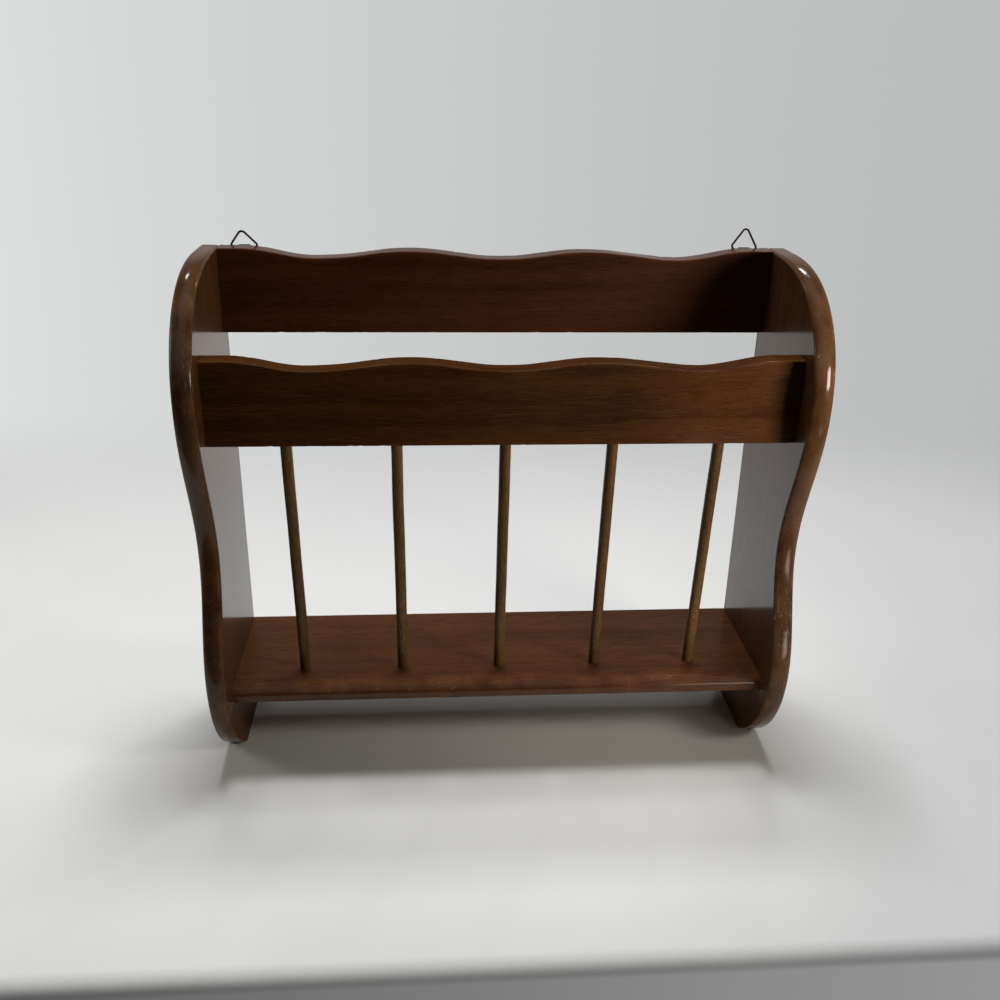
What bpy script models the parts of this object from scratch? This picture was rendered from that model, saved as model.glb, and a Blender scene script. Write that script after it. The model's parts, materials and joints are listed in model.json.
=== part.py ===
"""A small wooden rack for newspapers and magazines, to stand on a table or hang on a wall.

Two shaped side panels carry a waved rail at the back, a second one in front and a shelf. Five
leaning spindles close the front below the front rail. Glued pins join the boards, and two wire
triangles turn in straps on the back of the back rail.

The front faces -Y. Feet stand on z = 0. "Reach" is a distance forward from the back plane.
"""

import math

import bmesh
import bpy
from mathutils import Vector

MM = 0.001

# Gap left all round between pieces that touch, and how far a cutter runs past a face
FIT_GAP = 0.3 * MM
CUT_MARGIN = 2.0 * MM

# Side panels: outline of the flat faces, from the top at the back round to the foot
INNER_WIDTH = 400.0 * MM
PANEL_THICK = 14.3 * MM
PANEL_HEIGHT = 379.5 * MM
TOP_FLAT = 24.0 * MM
SHOULDER_SQUARENESS = 2.28
BELLY_REACH = 128.4 * MM
BELLY_DROP = 86.5 * MM
WAIST_REACH = 103.5 * MM
WAIST_HEIGHT = 180.0 * MM
TOE_REACH = 124.5 * MM
TOE_HEIGHT = 88.0 * MM
FOOT_FLAT = 71.0 * MM  # the foot is cut off level, and leaves a corner under the round toe
EDGE_CROWN = 3.0 * MM
CROWN_RUN = 0.5  # share of the shoulder over which the crown grows from nothing

# Rails: the wave's middle crests lie a little lower than the flat stretches at its ends
RAIL_THICK = 16.5 * MM
BACK_RAIL_HEIGHT = 60.3 * MM
FRONT_RAIL_HEIGHT = 58.6 * MM
WAVE_DEPTH = 5.4 * MM
WAVE_END_RISE = 1.2 * MM
WAVE_END_INSET = 69.0 * MM
WAVE_END_FLAT = 15.0 * MM
RAIL_EASE = 1.0 * MM  # rounding of a rail's long edges
FRONT_RAIL_DROP = 56.2 * MM
FRONT_RAIL_SETBACK = 19.7 * MM

# Shelf
SHELF_TOP = 73.1 * MM
SHELF_THICK = 14.8 * MM
SHELF_SETBACK = 17.3 * MM
SHELF_NOSE = 5.6 * MM

# Spindles
SPINDLE_COUNT = 5
SPINDLE_DIAMETER = 8.0 * MM
SPINDLE_END_INSET = 51.4 * MM
SPINDLE_SETBACK = 27.4 * MM
SPINDLE_COVER = 4.8 * MM  # wood left under a spindle in the shelf
SPINDLE_IN_RAIL = 12.0 * MM

# Glued joint pins
PIN_DIAMETER = 8.0 * MM
PIN_CHAMFER = 1.0 * MM
PIN_COVER = 4.3 * MM  # wood left outside a pin in the panel
PIN_IN_BOARD = 12.0 * MM
RAIL_PIN_EDGE = 12.0 * MM
RAIL_PIN_PITCH = 24.0 * MM
RAIL_PIN_COUNT = 2
SHELF_PIN_EDGE = 20.0 * MM
SHELF_PIN_COUNT = 3

# Wire hangers: triangle of wire in the rolled end of a screwed strap
HANGER_INSET = 16.7 * MM
HANGER_DROP = 2.2 * MM
WIRE_DIAMETER = 1.5 * MM
RING_HEIGHT = 15.15 * MM
RING_HALF_ANGLE = math.radians(32.8)
RING_CORNER = 2.4 * MM
STRAP_WIDTH = 8.0 * MM
STRAP_THICK = 0.8 * MM
STRAP_TAIL = 5.0 * MM  # from the screw's axis to the end of the strap
WIRE_PLAY = 0.5 * MM  # between the wire and the strap's roll, all round
STRAP_ROLL_END = math.radians(-110)
SCREW_DROP = 8.0 * MM
SCREW_DIAMETER = 2.5 * MM
SCREW_LENGTH = 12.0 * MM
SCREW_POINT = 3.0 * MM
SCREW_HEAD_DIAMETER = 5.0 * MM
SCREW_HEAD_HEIGHT = 1.4 * MM
SCREW_RIM_HEIGHT = 0.4 * MM
SCREW_SLOT_WIDTH = 0.7 * MM
SCREW_SLOT_DEPTH = 0.6 * MM

# How each triangle stands: its lean back from upright, and its turn in its own plane. The left
# one has tipped forward until it nearly rests on the rail's top edge.
HANGERS = {
    "left": {"sign": -1, "lean": math.radians(-34.5), "turn": 0.0},
    "right": {"sign": 1, "lean": math.radians(10.5), "turn": math.radians(4.5)},
}

# Facets
SHOULDER_STEPS = 18
WAIST_STEPS = 10
FOOT_STEPS = 14
CROWN_STEPS = 6
WAVE_STEP = 6.0 * MM
RAIL_EASE_STEPS = 3
NOSE_STEPS = 10
ROD_SIDES = 24
PIN_SIDES = 16
SCREW_SIDES = 16
ROLL_STEPS = 18
RING_CORNER_STEPS = 6
WIRE_RESOLUTION = 2
DOME_STEPS = 4
SMOOTH_ANGLE = math.radians(35)

# Worked out from the sizes above
BELLY_HEIGHT = PANEL_HEIGHT - BELLY_DROP
FRONT_RAIL_REACH = BELLY_REACH - FRONT_RAIL_SETBACK
FRONT_RAIL_TOP = PANEL_HEIGHT - FRONT_RAIL_DROP
BACK_RAIL_BOTTOM = PANEL_HEIGHT - BACK_RAIL_HEIGHT
FRONT_RAIL_BOTTOM = FRONT_RAIL_TOP - FRONT_RAIL_HEIGHT
SHELF_REACH = TOE_REACH - SHELF_SETBACK
SHELF_MIDDLE = SHELF_TOP - SHELF_THICK / 2
WAVE_PITCH = INNER_WIDTH / 2 - WAVE_END_INSET
SPINDLE_PITCH = (INNER_WIDTH - 2 * SPINDLE_END_INSET) / (SPINDLE_COUNT - 1)
BOARD_LENGTH = INNER_WIDTH - 2 * FIT_GAP
PANEL_MIDDLE = INNER_WIDTH / 2 + PANEL_THICK / 2
HANGER_PLACE = INNER_WIDTH / 2 - HANGER_INSET
STRAP_BORE = WIRE_DIAMETER + 2 * WIRE_PLAY
STRAP_LENGTH = SCREW_DROP + STRAP_TAIL
WIRE_STANDOFF = FIT_GAP + STRAP_THICK + STRAP_BORE / 2
HANGER_OVERHANG = max(
    WIRE_STANDOFF + STRAP_BORE / 2 + STRAP_THICK,
    *(
        WIRE_STANDOFF + RING_HEIGHT * math.sin(hanger["lean"]) + WIRE_DIAMETER / 2
        for hanger in HANGERS.values()
    ),
)
# The origin lies under the middle of the whole depth, hangers included
BACK_Y = (BELLY_REACH + EDGE_CROWN - HANGER_OVERHANG) / 2


def at(x, reach, height):
    """The point at this place across, this far forward of the back plane and this high."""
    return Vector((x, BACK_Y - reach, height))


def finish(name, colour, roughness, metallic=0.0):
    """A plain material of this linear colour."""
    material = bpy.data.materials.new(name)
    material.use_nodes = True
    shader = material.node_tree.nodes["Principled BSDF"]
    shader.inputs["Base Color"].default_value = (*colour, 1.0)
    shader.inputs["Roughness"].default_value = roughness
    shader.inputs["Metallic"].default_value = metallic
    return material


def make_object(name, shape, material, place=(0, 0, 0)):
    """One named piece from a bmesh, facing outwards, parented to the rack's empty."""
    bmesh.ops.recalc_face_normals(shape, faces=shape.faces)
    mesh = bpy.data.meshes.new(name)
    shape.to_mesh(mesh)
    shape.free()
    mesh.shade_smooth()
    mesh.set_sharp_from_angle(angle=SMOOTH_ANGLE)
    if material:
        mesh.materials.append(material)
    piece = bpy.data.objects.new(name, mesh)
    piece.location = place
    piece.parent = bpy.data.objects["rack"]
    bpy.context.scene.collection.objects.link(piece)
    return piece


def add_prism(shape, outline, sweep):
    """Adds the solid that a closed outline leaves when it moves by the sweep."""
    first = [shape.verts.new(point) for point in outline]
    last = [shape.verts.new(point + sweep) for point in outline]
    shape.faces.new(first)
    shape.faces.new(reversed(last))
    for i in range(len(outline)):
        j = (i + 1) % len(outline)
        shape.faces.new((first[j], first[i], last[i], last[j]))


def add_turned(shape, profile, start, direction, sides):
    """Adds a solid turned about a line: the profile holds (radius, distance along the line)."""
    direction = Vector(direction).normalized()
    turn = direction.to_track_quat("Z", "Y")
    rings = []
    for radius, along in profile:
        centre = start + direction * along
        if radius == 0:
            rings.append([shape.verts.new(centre)])
            continue
        angles = [2 * math.pi * k / sides for k in range(sides)]
        spokes = [turn @ Vector((math.cos(a), math.sin(a), 0)) for a in angles]
        rings.append([shape.verts.new(centre + spoke * radius) for spoke in spokes])
    for low, high in zip(rings, rings[1:]):
        for k in range(sides):
            corners = [low[k % len(low)], low[(k + 1) % len(low)]]
            corners += [high[(k + 1) % len(high)], high[k % len(high)]]
            shape.faces.new(list(dict.fromkeys(corners)))


def add_rod(shape, start, end, radius, sides):
    """Adds a plain round rod between two points."""
    length = (end - start).length
    profile = [(0, 0), (radius, 0), (radius, length), (0, length)]
    add_turned(shape, profile, start, end - start, sides)


def make_cutter(name, rods, sides):
    """A helper that holds one rod for each hole, given as (start, end, radius)."""
    shape = bmesh.new()
    for start, end, radius in rods:
        add_rod(shape, start, end, radius, sides)
    cutter = make_object(name, shape, None)
    cutter.hide_render = True
    cutter.display_type = "WIRE"
    return cutter


def cut(piece, cutter):
    """Cuts the helper's shape out of a piece."""
    boolean = piece.modifiers.new(cutter.name, "BOOLEAN")
    boolean.operation = "DIFFERENCE"
    boolean.solver = "EXACT"
    boolean.object = cutter


def ease(start, end, share):
    """From start to end along half a cosine wave."""
    return start + (end - start) * (1 - math.cos(math.pi * share)) / 2


def panel_outline():
    """Stations of a panel's outline as (reach, height, share of the full crown)."""
    stations = [(0.0, PANEL_HEIGHT, 0.0), (TOP_FLAT, PANEL_HEIGHT, 0.0)]
    power = 2 / SHOULDER_SQUARENESS
    for k in range(1, SHOULDER_STEPS + 1):
        share = k / SHOULDER_STEPS
        angle = share * math.pi / 2
        reach = TOP_FLAT + (BELLY_REACH - TOP_FLAT) * math.sin(angle) ** power
        rise = (PANEL_HEIGHT - BELLY_HEIGHT) * max(math.cos(angle), 0.0) ** power
        stations.append((reach, BELLY_HEIGHT + rise, ease(0, 1, min(1.0, share / CROWN_RUN))))
    bends = ((BELLY_REACH, BELLY_HEIGHT), (WAIST_REACH, WAIST_HEIGHT), (TOE_REACH, TOE_HEIGHT))
    for (reach, height), (next_reach, next_height) in zip(bends, bends[1:]):
        for k in range(1, WAIST_STEPS + 1):
            share = k / WAIST_STEPS
            along = height + (next_height - height) * share
            stations.append((ease(reach, next_reach, share), along, 1.0))
    turn = math.acos(FOOT_FLAT / TOE_REACH)
    for k in range(1, FOOT_STEPS):
        share = k / FOOT_STEPS
        reach = TOE_REACH * math.cos(turn * share)
        height = TOE_HEIGHT * (1 - math.sin(turn * share) / math.sin(turn))
        stations.append((reach, height, ease(1, 0, share)))
    stations += [(FOOT_FLAT, 0.0, 0.0), (0.0, 0.0, 0.0)]
    return stations


def crown_section():
    """The front edge's section as (place across, rise), an arc that bulges by one unit."""
    half = PANEL_THICK / 2
    radius = (half**2 + EDGE_CROWN**2) / (2 * EDGE_CROWN)
    section = []
    for k in range(CROWN_STEPS + 1):
        across = half * (2 * k / CROWN_STEPS - 1)
        rise = math.sqrt(radius**2 - across**2) - (radius - EDGE_CROWN)
        section.append((across, max(rise, 0.0)))
    return section


def panel_shape():
    """A side panel about its own middle plane, with its back bottom corner on the X axis."""
    shape = bmesh.new()
    stations = panel_outline()
    section = crown_section()
    rows = []
    for i, (reach, height, crown) in enumerate(stations):
        before = stations[max(i - 1, 0)]
        after = stations[min(i + 1, len(stations) - 1)]
        along = Vector((after[0] - before[0], after[1] - before[1])).normalized()
        out = Vector((-along.y, along.x))
        row = []
        for across, rise in section:
            forward = reach + out.x * rise * crown
            up = height + out.y * rise * crown
            row.append(shape.verts.new((across, -forward, up)))
        rows.append(row)
    for row, following in zip(rows, rows[1:] + rows[:1]):
        for k in range(CROWN_STEPS):
            shape.faces.new((row[k], row[k + 1], following[k + 1], following[k]))
    shape.faces.new([row[0] for row in rows])
    shape.faces.new([row[-1] for row in reversed(rows)])
    return shape


def wave_drop(x):
    """How far the waved edge of a rail lies below its flat ends, at this place across."""
    x = abs(x)
    deepest = WAVE_DEPTH + WAVE_END_RISE
    if x <= WAVE_PITCH:
        return ease(deepest, WAVE_END_RISE, 2 * x / WAVE_PITCH)
    run = WAVE_END_INSET - WAVE_END_FLAT
    return ease(deepest, 0, min(1.0, (x - WAVE_PITCH) / run))


def eased_side(upper):
    """The top of a rail's section, from back to front, or its foot, from front to back.

    Each point is (distance behind the front face, rise from the top or the foot).
    """
    sign = 1 if upper else -1
    points = []
    for quarter, side in ((0, 1), (1, -1)):
        middle = (RAIL_THICK + sign * side * (RAIL_THICK - 2 * RAIL_EASE)) / 2
        for k in range(RAIL_EASE_STEPS + 1):
            angle = (quarter + k / RAIL_EASE_STEPS) * math.pi / 2
            behind = middle + sign * RAIL_EASE * math.cos(angle)
            points.append((behind, sign * RAIL_EASE * (math.sin(angle) - 1)))
    return points


def rail_shape(reach, bottom, top):
    """A rail with its front face at this reach, its foot and its flat ends at these heights."""
    shape = bmesh.new()
    steps = round(BOARD_LENGTH / WAVE_STEP)
    stations = [BOARD_LENGTH * (k / steps - 0.5) for k in range(steps + 1)]
    over = []
    for x in stations:
        edge = top - wave_drop(x)
        row = [at(x, reach - behind, edge + rise) for behind, rise in eased_side(True)]
        over.append([shape.verts.new(point) for point in row])
    under = []
    for x in (stations[0], stations[-1]):
        row = [at(x, reach - behind, bottom + rise) for behind, rise in eased_side(False)]
        under.append([shape.verts.new(point) for point in row])
    for rows in (over, under):
        for row, following in zip(rows, rows[1:]):
            for k in range(len(row) - 1):
                shape.faces.new((row[k], row[k + 1], following[k + 1], following[k]))
    shape.faces.new([row[0] for row in over] + [under[1][-1], under[0][-1]])
    shape.faces.new([row[-1] for row in over] + [under[1][0], under[0][0]])
    shape.faces.new(over[0] + under[0])
    shape.faces.new(over[-1] + under[-1])
    return shape


def shelf_shape():
    """The shelf, with an arc for its nose."""
    shape = bmesh.new()
    half = SHELF_THICK / 2
    radius = (half**2 + SHELF_NOSE**2) / (2 * SHELF_NOSE)
    left = -BOARD_LENGTH / 2
    outline = [at(left, 0, SHELF_TOP - SHELF_THICK), at(left, 0, SHELF_TOP)]
    for k in range(NOSE_STEPS + 1):
        up = half * (1 - 2 * k / NOSE_STEPS)
        sunk = radius - math.sqrt(radius**2 - up**2)
        outline.append(at(left, SHELF_REACH - sunk, SHELF_MIDDLE + up))
    add_prism(shape, outline, Vector((BOARD_LENGTH, 0, 0)))
    return shape


def spindle_line(number):
    """A spindle's (start, end): its two blind ends, in the shelf and in the front rail."""
    x = (number - (SPINDLE_COUNT - 1) / 2) * SPINDLE_PITCH
    foot = at(x, SHELF_REACH - SPINDLE_SETBACK, SHELF_TOP)
    head = at(x, FRONT_RAIL_REACH - RAIL_THICK / 2, FRONT_RAIL_BOTTOM)
    direction = (head - foot).normalized()
    return foot - direction * (SHELF_THICK - SPINDLE_COVER), head + direction * SPINDLE_IN_RAIL


def lengthened(start, end, more):
    """The same line, longer by this much at both ends."""
    direction = (end - start).normalized()
    return start - direction * more, end + direction * more


def pin_places():
    """Every joint pin as {name: (start, end)}, from its end in the panel inwards."""
    rows = {}
    for name, reach, bottom in (
        ("back_rail", RAIL_THICK / 2, BACK_RAIL_BOTTOM),
        ("front_rail", FRONT_RAIL_REACH - RAIL_THICK / 2, FRONT_RAIL_BOTTOM),
    ):
        heights = [bottom + RAIL_PIN_EDGE + RAIL_PIN_PITCH * k for k in range(RAIL_PIN_COUNT)]
        rows[name] = [(reach, height) for height in heights]
    pitch = (SHELF_REACH - SHELF_NOSE - 2 * SHELF_PIN_EDGE) / (SHELF_PIN_COUNT - 1)
    reaches = [SHELF_PIN_EDGE + pitch * k for k in range(SHELF_PIN_COUNT)]
    rows["shelf"] = [(reach, SHELF_MIDDLE) for reach in reaches]
    pins = {}
    for side, sign in (("left", -1), ("right", 1)):
        outer = sign * (INNER_WIDTH / 2 + PANEL_THICK - PIN_COVER)
        inner = sign * (INNER_WIDTH / 2 - PIN_IN_BOARD)
        for board, places in rows.items():
            for k, (reach, height) in enumerate(places):
                name = f"{board}_pin_{side}_{k + 1}"
                pins[name] = (at(outer, reach, height), at(inner, reach, height))
    return pins


def pin_shape(start, end):
    """A joint pin with chamfered ends."""
    shape = bmesh.new()
    radius = PIN_DIAMETER / 2
    length = (end - start).length
    profile = [(0, 0), (radius - PIN_CHAMFER, 0), (radius, PIN_CHAMFER)]
    profile += [(radius, length - PIN_CHAMFER), (radius - PIN_CHAMFER, length), (0, length)]
    add_turned(shape, profile, start, end - start, PIN_SIDES)
    return shape


def hanger_pivot(hanger):
    """Where the wire turns: behind the back rail, a little below its top."""
    x = hanger["sign"] * HANGER_PLACE
    return at(x, -WIRE_STANDOFF, PANEL_HEIGHT - HANGER_DROP)


def ring_path():
    """Centre line of the wire triangle, with its base on the X axis and its corners rounded."""
    tip = RING_HEIGHT + RING_CORNER * (1 / math.sin(RING_HALF_ANGLE) - 1)
    half = tip * math.tan(RING_HALF_ANGLE)
    corners = [Vector((-half, 0, 0)), Vector((half, 0, 0)), Vector((0, 0, tip))]
    path = []
    for i, corner in enumerate(corners):
        back = (corners[i - 1] - corner).normalized()
        onward = (corners[(i + 1) % len(corners)] - corner).normalized()
        half_angle = back.angle(onward) / 2
        middle = (back + onward).normalized()
        centre = corner + middle * RING_CORNER / math.sin(half_angle)
        first = corner + back * RING_CORNER / math.tan(half_angle) - centre
        last = corner + onward * RING_CORNER / math.tan(half_angle) - centre
        sweep = first.angle(last)
        for k in range(RING_CORNER_STEPS + 1):
            turn = sweep * k / RING_CORNER_STEPS
            blend = first * math.sin(sweep - turn) + last * math.sin(turn)
            path.append(centre + blend / math.sin(sweep))
    return path


def make_ring(side, hanger, material):
    """A wire triangle whose origin lies on the line that it turns about."""
    name = f"hanger_ring_{side}"
    curve = bpy.data.curves.new(name, "CURVE")
    curve.dimensions = "3D"
    curve.bevel_depth = WIRE_DIAMETER / 2
    curve.bevel_resolution = WIRE_RESOLUTION
    path = ring_path()
    spline = curve.splines.new("POLY")
    spline.points.add(len(path) - 1)
    for point, place in zip(spline.points, path):
        point.co = (*place, 1)
    spline.use_cyclic_u = True
    curve.materials.append(material)
    ring = bpy.data.objects.new(name, curve)
    ring.location = hanger_pivot(hanger)
    ring.rotation_mode = "YXZ"
    ring.rotation_euler = (-hanger["lean"], hanger["turn"], 0)
    ring.parent = bpy.data.objects["rack"]
    bpy.context.scene.collection.objects.link(ring)


def strap_shape():
    """A strip of sheet steel, rolled at its top, about the wire's axis and centred across."""
    shape = bmesh.new()
    inner = STRAP_BORE / 2
    outer = inner + STRAP_THICK
    angles = [math.pi + (STRAP_ROLL_END - math.pi) * k / ROLL_STEPS for k in range(ROLL_STEPS + 1)]
    outline = [(-outer, -STRAP_LENGTH)]
    outline += [(outer * math.cos(a), outer * math.sin(a)) for a in angles]
    outline += [(inner * math.cos(a), inner * math.sin(a)) for a in reversed(angles)]
    outline += [(-inner, -STRAP_LENGTH)]
    left = -STRAP_WIDTH / 2
    add_prism(shape, [Vector((left, y, z)) for y, z in outline], Vector((STRAP_WIDTH, 0, 0)))
    return shape


def screw_seat(hanger):
    """Where a strap's screw head sits: on the strap's outer face, below the wire."""
    pivot = hanger_pivot(hanger)
    strap_face = at(pivot.x, -(FIT_GAP + STRAP_THICK), pivot.z - SCREW_DROP)
    return strap_face + Vector((0, FIT_GAP, 0))


def screw_shape():
    """A round-headed screw with its seat at the origin and its point towards -Y."""
    shape = bmesh.new()
    core = SCREW_DIAMETER / 2
    head = SCREW_HEAD_DIAMETER / 2
    rise = SCREW_HEAD_HEIGHT - SCREW_RIM_HEIGHT
    profile = [(0, -SCREW_LENGTH), (core, -SCREW_LENGTH + SCREW_POINT), (core, 0), (head, 0)]
    for k in range(DOME_STEPS):
        angle = math.pi / 2 * k / DOME_STEPS
        profile.append((head * math.cos(angle), SCREW_RIM_HEIGHT + rise * math.sin(angle)))
    profile.append((0, SCREW_HEAD_HEIGHT))
    add_turned(shape, profile, Vector((0, 0, 0)), (0, 1, 0), SCREW_SIDES)
    return shape


def slot_cutter(side, seat):
    """The helper that cuts the driver's slot across a screw's head."""
    shape = bmesh.new()
    half = SCREW_HEAD_DIAMETER / 2 + CUT_MARGIN
    low = SCREW_HEAD_HEIGHT - SCREW_SLOT_DEPTH
    width = SCREW_SLOT_WIDTH / 2
    outline = [Vector((-half, low, -width)), Vector((half, low, -width))]
    outline += [Vector((half, low, width)), Vector((-half, low, width))]
    add_prism(shape, outline, Vector((0, SCREW_SLOT_DEPTH + CUT_MARGIN, 0)))
    cutter = make_object(f"screw_slot_{side}", shape, None, seat)
    cutter.hide_render = True
    cutter.display_type = "WIRE"
    return cutter


def make_boards():
    """The panels, rails and shelf, uncut."""
    panel_wood = finish("panel_wood", (0.105, 0.042, 0.022), 0.24)
    back_wood = finish("back_rail_wood", (0.085, 0.030, 0.016), 0.24)
    front_wood = finish("front_rail_wood", (0.075, 0.028, 0.014), 0.22)
    shelf_wood = finish("shelf_wood", (0.120, 0.046, 0.026), 0.26)
    boards = {}
    for side, sign in (("left", -1), ("right", 1)):
        place = (sign * PANEL_MIDDLE, BACK_Y, 0)
        boards[side] = make_object(f"side_panel_{side}", panel_shape(), panel_wood, place)
    back = rail_shape(RAIL_THICK, BACK_RAIL_BOTTOM, PANEL_HEIGHT)
    front = rail_shape(FRONT_RAIL_REACH, FRONT_RAIL_BOTTOM, FRONT_RAIL_TOP)
    boards["back"] = make_object("back_rail", back, back_wood)
    boards["front"] = make_object("front_rail", front, front_wood)
    boards["shelf"] = make_object("bottom_shelf", shelf_shape(), shelf_wood)
    return boards


def make_pins(boards):
    """The joint pins, and their holes in all the boards."""
    pin_wood = finish("pin_wood", (0.52, 0.36, 0.20), 0.7)
    holes = []
    for name, (start, end) in pin_places().items():
        make_object(name, pin_shape(start, end), pin_wood)
        holes.append((*lengthened(start, end, FIT_GAP), PIN_DIAMETER / 2 + FIT_GAP))
    cutter = make_cutter("pin_holes", holes, PIN_SIDES)
    for board in boards.values():
        cut(board, cutter)


def make_spindles(boards):
    """The spindles, and their holes in the shelf and the front rail."""
    spindle_wood = finish("spindle_wood", (0.115, 0.062, 0.026), 0.32)
    radius = SPINDLE_DIAMETER / 2
    holes = []
    for number in range(SPINDLE_COUNT):
        start, end = spindle_line(number)
        shape = bmesh.new()
        add_rod(shape, start, end, radius, ROD_SIDES)
        make_object(f"spindle_{number + 1}", shape, spindle_wood)
        holes.append((*lengthened(start, end, FIT_GAP), radius + FIT_GAP))
    cutter = make_cutter("spindle_holes", holes, ROD_SIDES)
    cut(boards["shelf"], cutter)
    cut(boards["front"], cutter)


def make_hangers(boards):
    """The wire triangles with their straps and screws, and the screws' holes."""
    wire = finish("black_wire", (0.012, 0.012, 0.013), 0.4, 0.8)
    strap_steel = finish("black_strap", (0.018, 0.018, 0.019), 0.45, 0.8)
    screw_steel = finish("screw_steel", (0.30, 0.29, 0.27), 0.4, 1.0)
    drilled = [boards["back"]]
    holes = []
    for side, hanger in HANGERS.items():
        make_ring(side, hanger, wire)
        seat = screw_seat(hanger)
        point = seat - Vector((0, SCREW_LENGTH + FIT_GAP, 0))
        outside = seat + Vector((0, CUT_MARGIN, 0))
        holes.append((point, outside, SCREW_DIAMETER / 2 + FIT_GAP))
        pivot = hanger_pivot(hanger)
        drilled.append(make_object(f"hanger_strap_{side}", strap_shape(), strap_steel, pivot))
        screw = make_object(f"hanger_screw_{side}", screw_shape(), screw_steel, seat)
        cut(screw, slot_cutter(side, seat))
    cutter = make_cutter("screw_holes", holes, SCREW_SIDES)
    for piece in drilled:
        cut(piece, cutter)


def main():
    for old in list(bpy.data.objects):
        bpy.data.objects.remove(old, do_unlink=True)
    rack = bpy.data.objects.new("rack", None)
    bpy.context.scene.collection.objects.link(rack)
    boards = make_boards()
    make_pins(boards)
    make_spindles(boards)
    make_hangers(boards)
    bpy.context.view_layer.update()


main()
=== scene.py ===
"""Looks of a small wooden newspaper rack: stained, lacquered boards, spindles and wire hangers.

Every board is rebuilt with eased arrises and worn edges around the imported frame. The front faces
-Y, the feet stand on z = 0, and "reach" is a distance forward from the plane of the back.
"""

import json
import logging
import math
from dataclasses import dataclass, field
from enum import Enum
from typing import Callable, NamedTuple, Union

import bmesh
import bpy
from bmesh.types import BMesh, BMVert
from bpy.types import Material, Mesh, Node, NodeSocket, NodeTree, Object
from mathutils import Euler, Matrix, Vector, noise


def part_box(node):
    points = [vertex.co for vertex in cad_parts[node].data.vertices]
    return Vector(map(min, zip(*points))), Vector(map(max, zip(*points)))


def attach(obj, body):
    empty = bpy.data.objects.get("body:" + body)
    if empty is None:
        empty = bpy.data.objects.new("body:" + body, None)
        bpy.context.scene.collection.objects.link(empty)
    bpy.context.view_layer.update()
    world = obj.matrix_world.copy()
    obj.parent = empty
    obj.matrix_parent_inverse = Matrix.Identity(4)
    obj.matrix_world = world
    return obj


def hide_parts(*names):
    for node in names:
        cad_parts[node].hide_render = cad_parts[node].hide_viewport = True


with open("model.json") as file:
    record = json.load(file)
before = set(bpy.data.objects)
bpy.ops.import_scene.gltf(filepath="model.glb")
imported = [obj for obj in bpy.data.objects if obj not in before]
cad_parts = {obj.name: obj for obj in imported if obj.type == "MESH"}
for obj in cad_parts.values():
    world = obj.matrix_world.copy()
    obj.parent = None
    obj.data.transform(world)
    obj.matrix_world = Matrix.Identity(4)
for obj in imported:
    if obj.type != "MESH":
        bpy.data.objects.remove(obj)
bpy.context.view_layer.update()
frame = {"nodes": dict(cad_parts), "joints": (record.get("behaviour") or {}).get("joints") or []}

MM = 0.001
RACK_BODY = "rack"
WARM_LIGHT = (1.0, 0.92, 0.80)

log = logging.getLogger("rack")

Pair = tuple[float, float]
Triple = tuple[float, float, float]
Colour = Triple


class Side(Enum):
    """The two ends of the rack, with the sign of their X."""

    LEFT = -1
    RIGHT = 1

    @property
    def word(self) -> str:
        """The side's name in the frame's nodes."""
        return self.name.lower()


class Grain(Enum):
    """How a board's fibres run, as the turn that brings them along X."""

    ACROSS = (0.0, 0.0, 0.0)
    UPRIGHT = (0.0, math.pi / 2, 0.0)


def operator(operation: str, reflected: bool = False) -> Callable[["Value", "Feed"], "Value"]:
    """Makes the method behind one of Value's operators.

    Args:
        operation: What the Math node does.
        reflected: Whether the Value stands on the operator's right.

    Returns:
        The method, which adds the node.
    """

    def method(self: "Value", other: "Feed") -> "Value":
        """The Math node's result."""
        terms = (other, self) if reflected else (self, other)
        return self.tree.math(operation, *terms)

    return method


class Value:
    """A number socket of a node tree. Arithmetic on it adds Math nodes."""

    __add__ = operator("ADD")
    __radd__ = operator("ADD", reflected=True)
    __sub__ = operator("SUBTRACT")
    __rsub__ = operator("SUBTRACT", reflected=True)
    __mul__ = operator("MULTIPLY")
    __rmul__ = operator("MULTIPLY", reflected=True)
    __truediv__ = operator("DIVIDE")
    __pow__ = operator("POWER")

    def __init__(self, tree: "Tree", socket: NodeSocket) -> None:
        """Wraps one output socket of a tree."""
        self.tree = tree
        self.socket = socket

    def __abs__(self) -> "Value":
        """abs(self)"""
        return self.tree.math("ABSOLUTE", self)

    def cosine(self) -> "Value":
        """Cosine of an angle in radians."""
        return self.tree.math("COSINE", self)

    def below(self, limit: "Feed") -> "Value":
        """1 where the number lies under the limit, else 0."""
        return self.tree.math("LESS_THAN", self, limit)

    def rise(self, low: float, high: float) -> "Value":
        """A smooth step.

        Args:
            low: Where it is 0.
            high: Where it is 1. It may lie under low.

        Returns:
            The step, from 0 to 1.
        """
        if low > high:
            return 1 - self.rise(high, low)
        settings = {"interpolation_type": "SMOOTHSTEP"}
        sockets = {"Value": self, "From Min": low, "From Max": high}
        return self.tree.value("ShaderNodeMapRange", "Result", settings, sockets)

    def within(self) -> "Value":
        """The number held between 0 and 1."""
        return self.tree.value("ShaderNodeClamp", "Result", {}, {"Value": self})


Feed = Union[Value, NodeSocket, float, tuple, str, bool]


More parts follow.
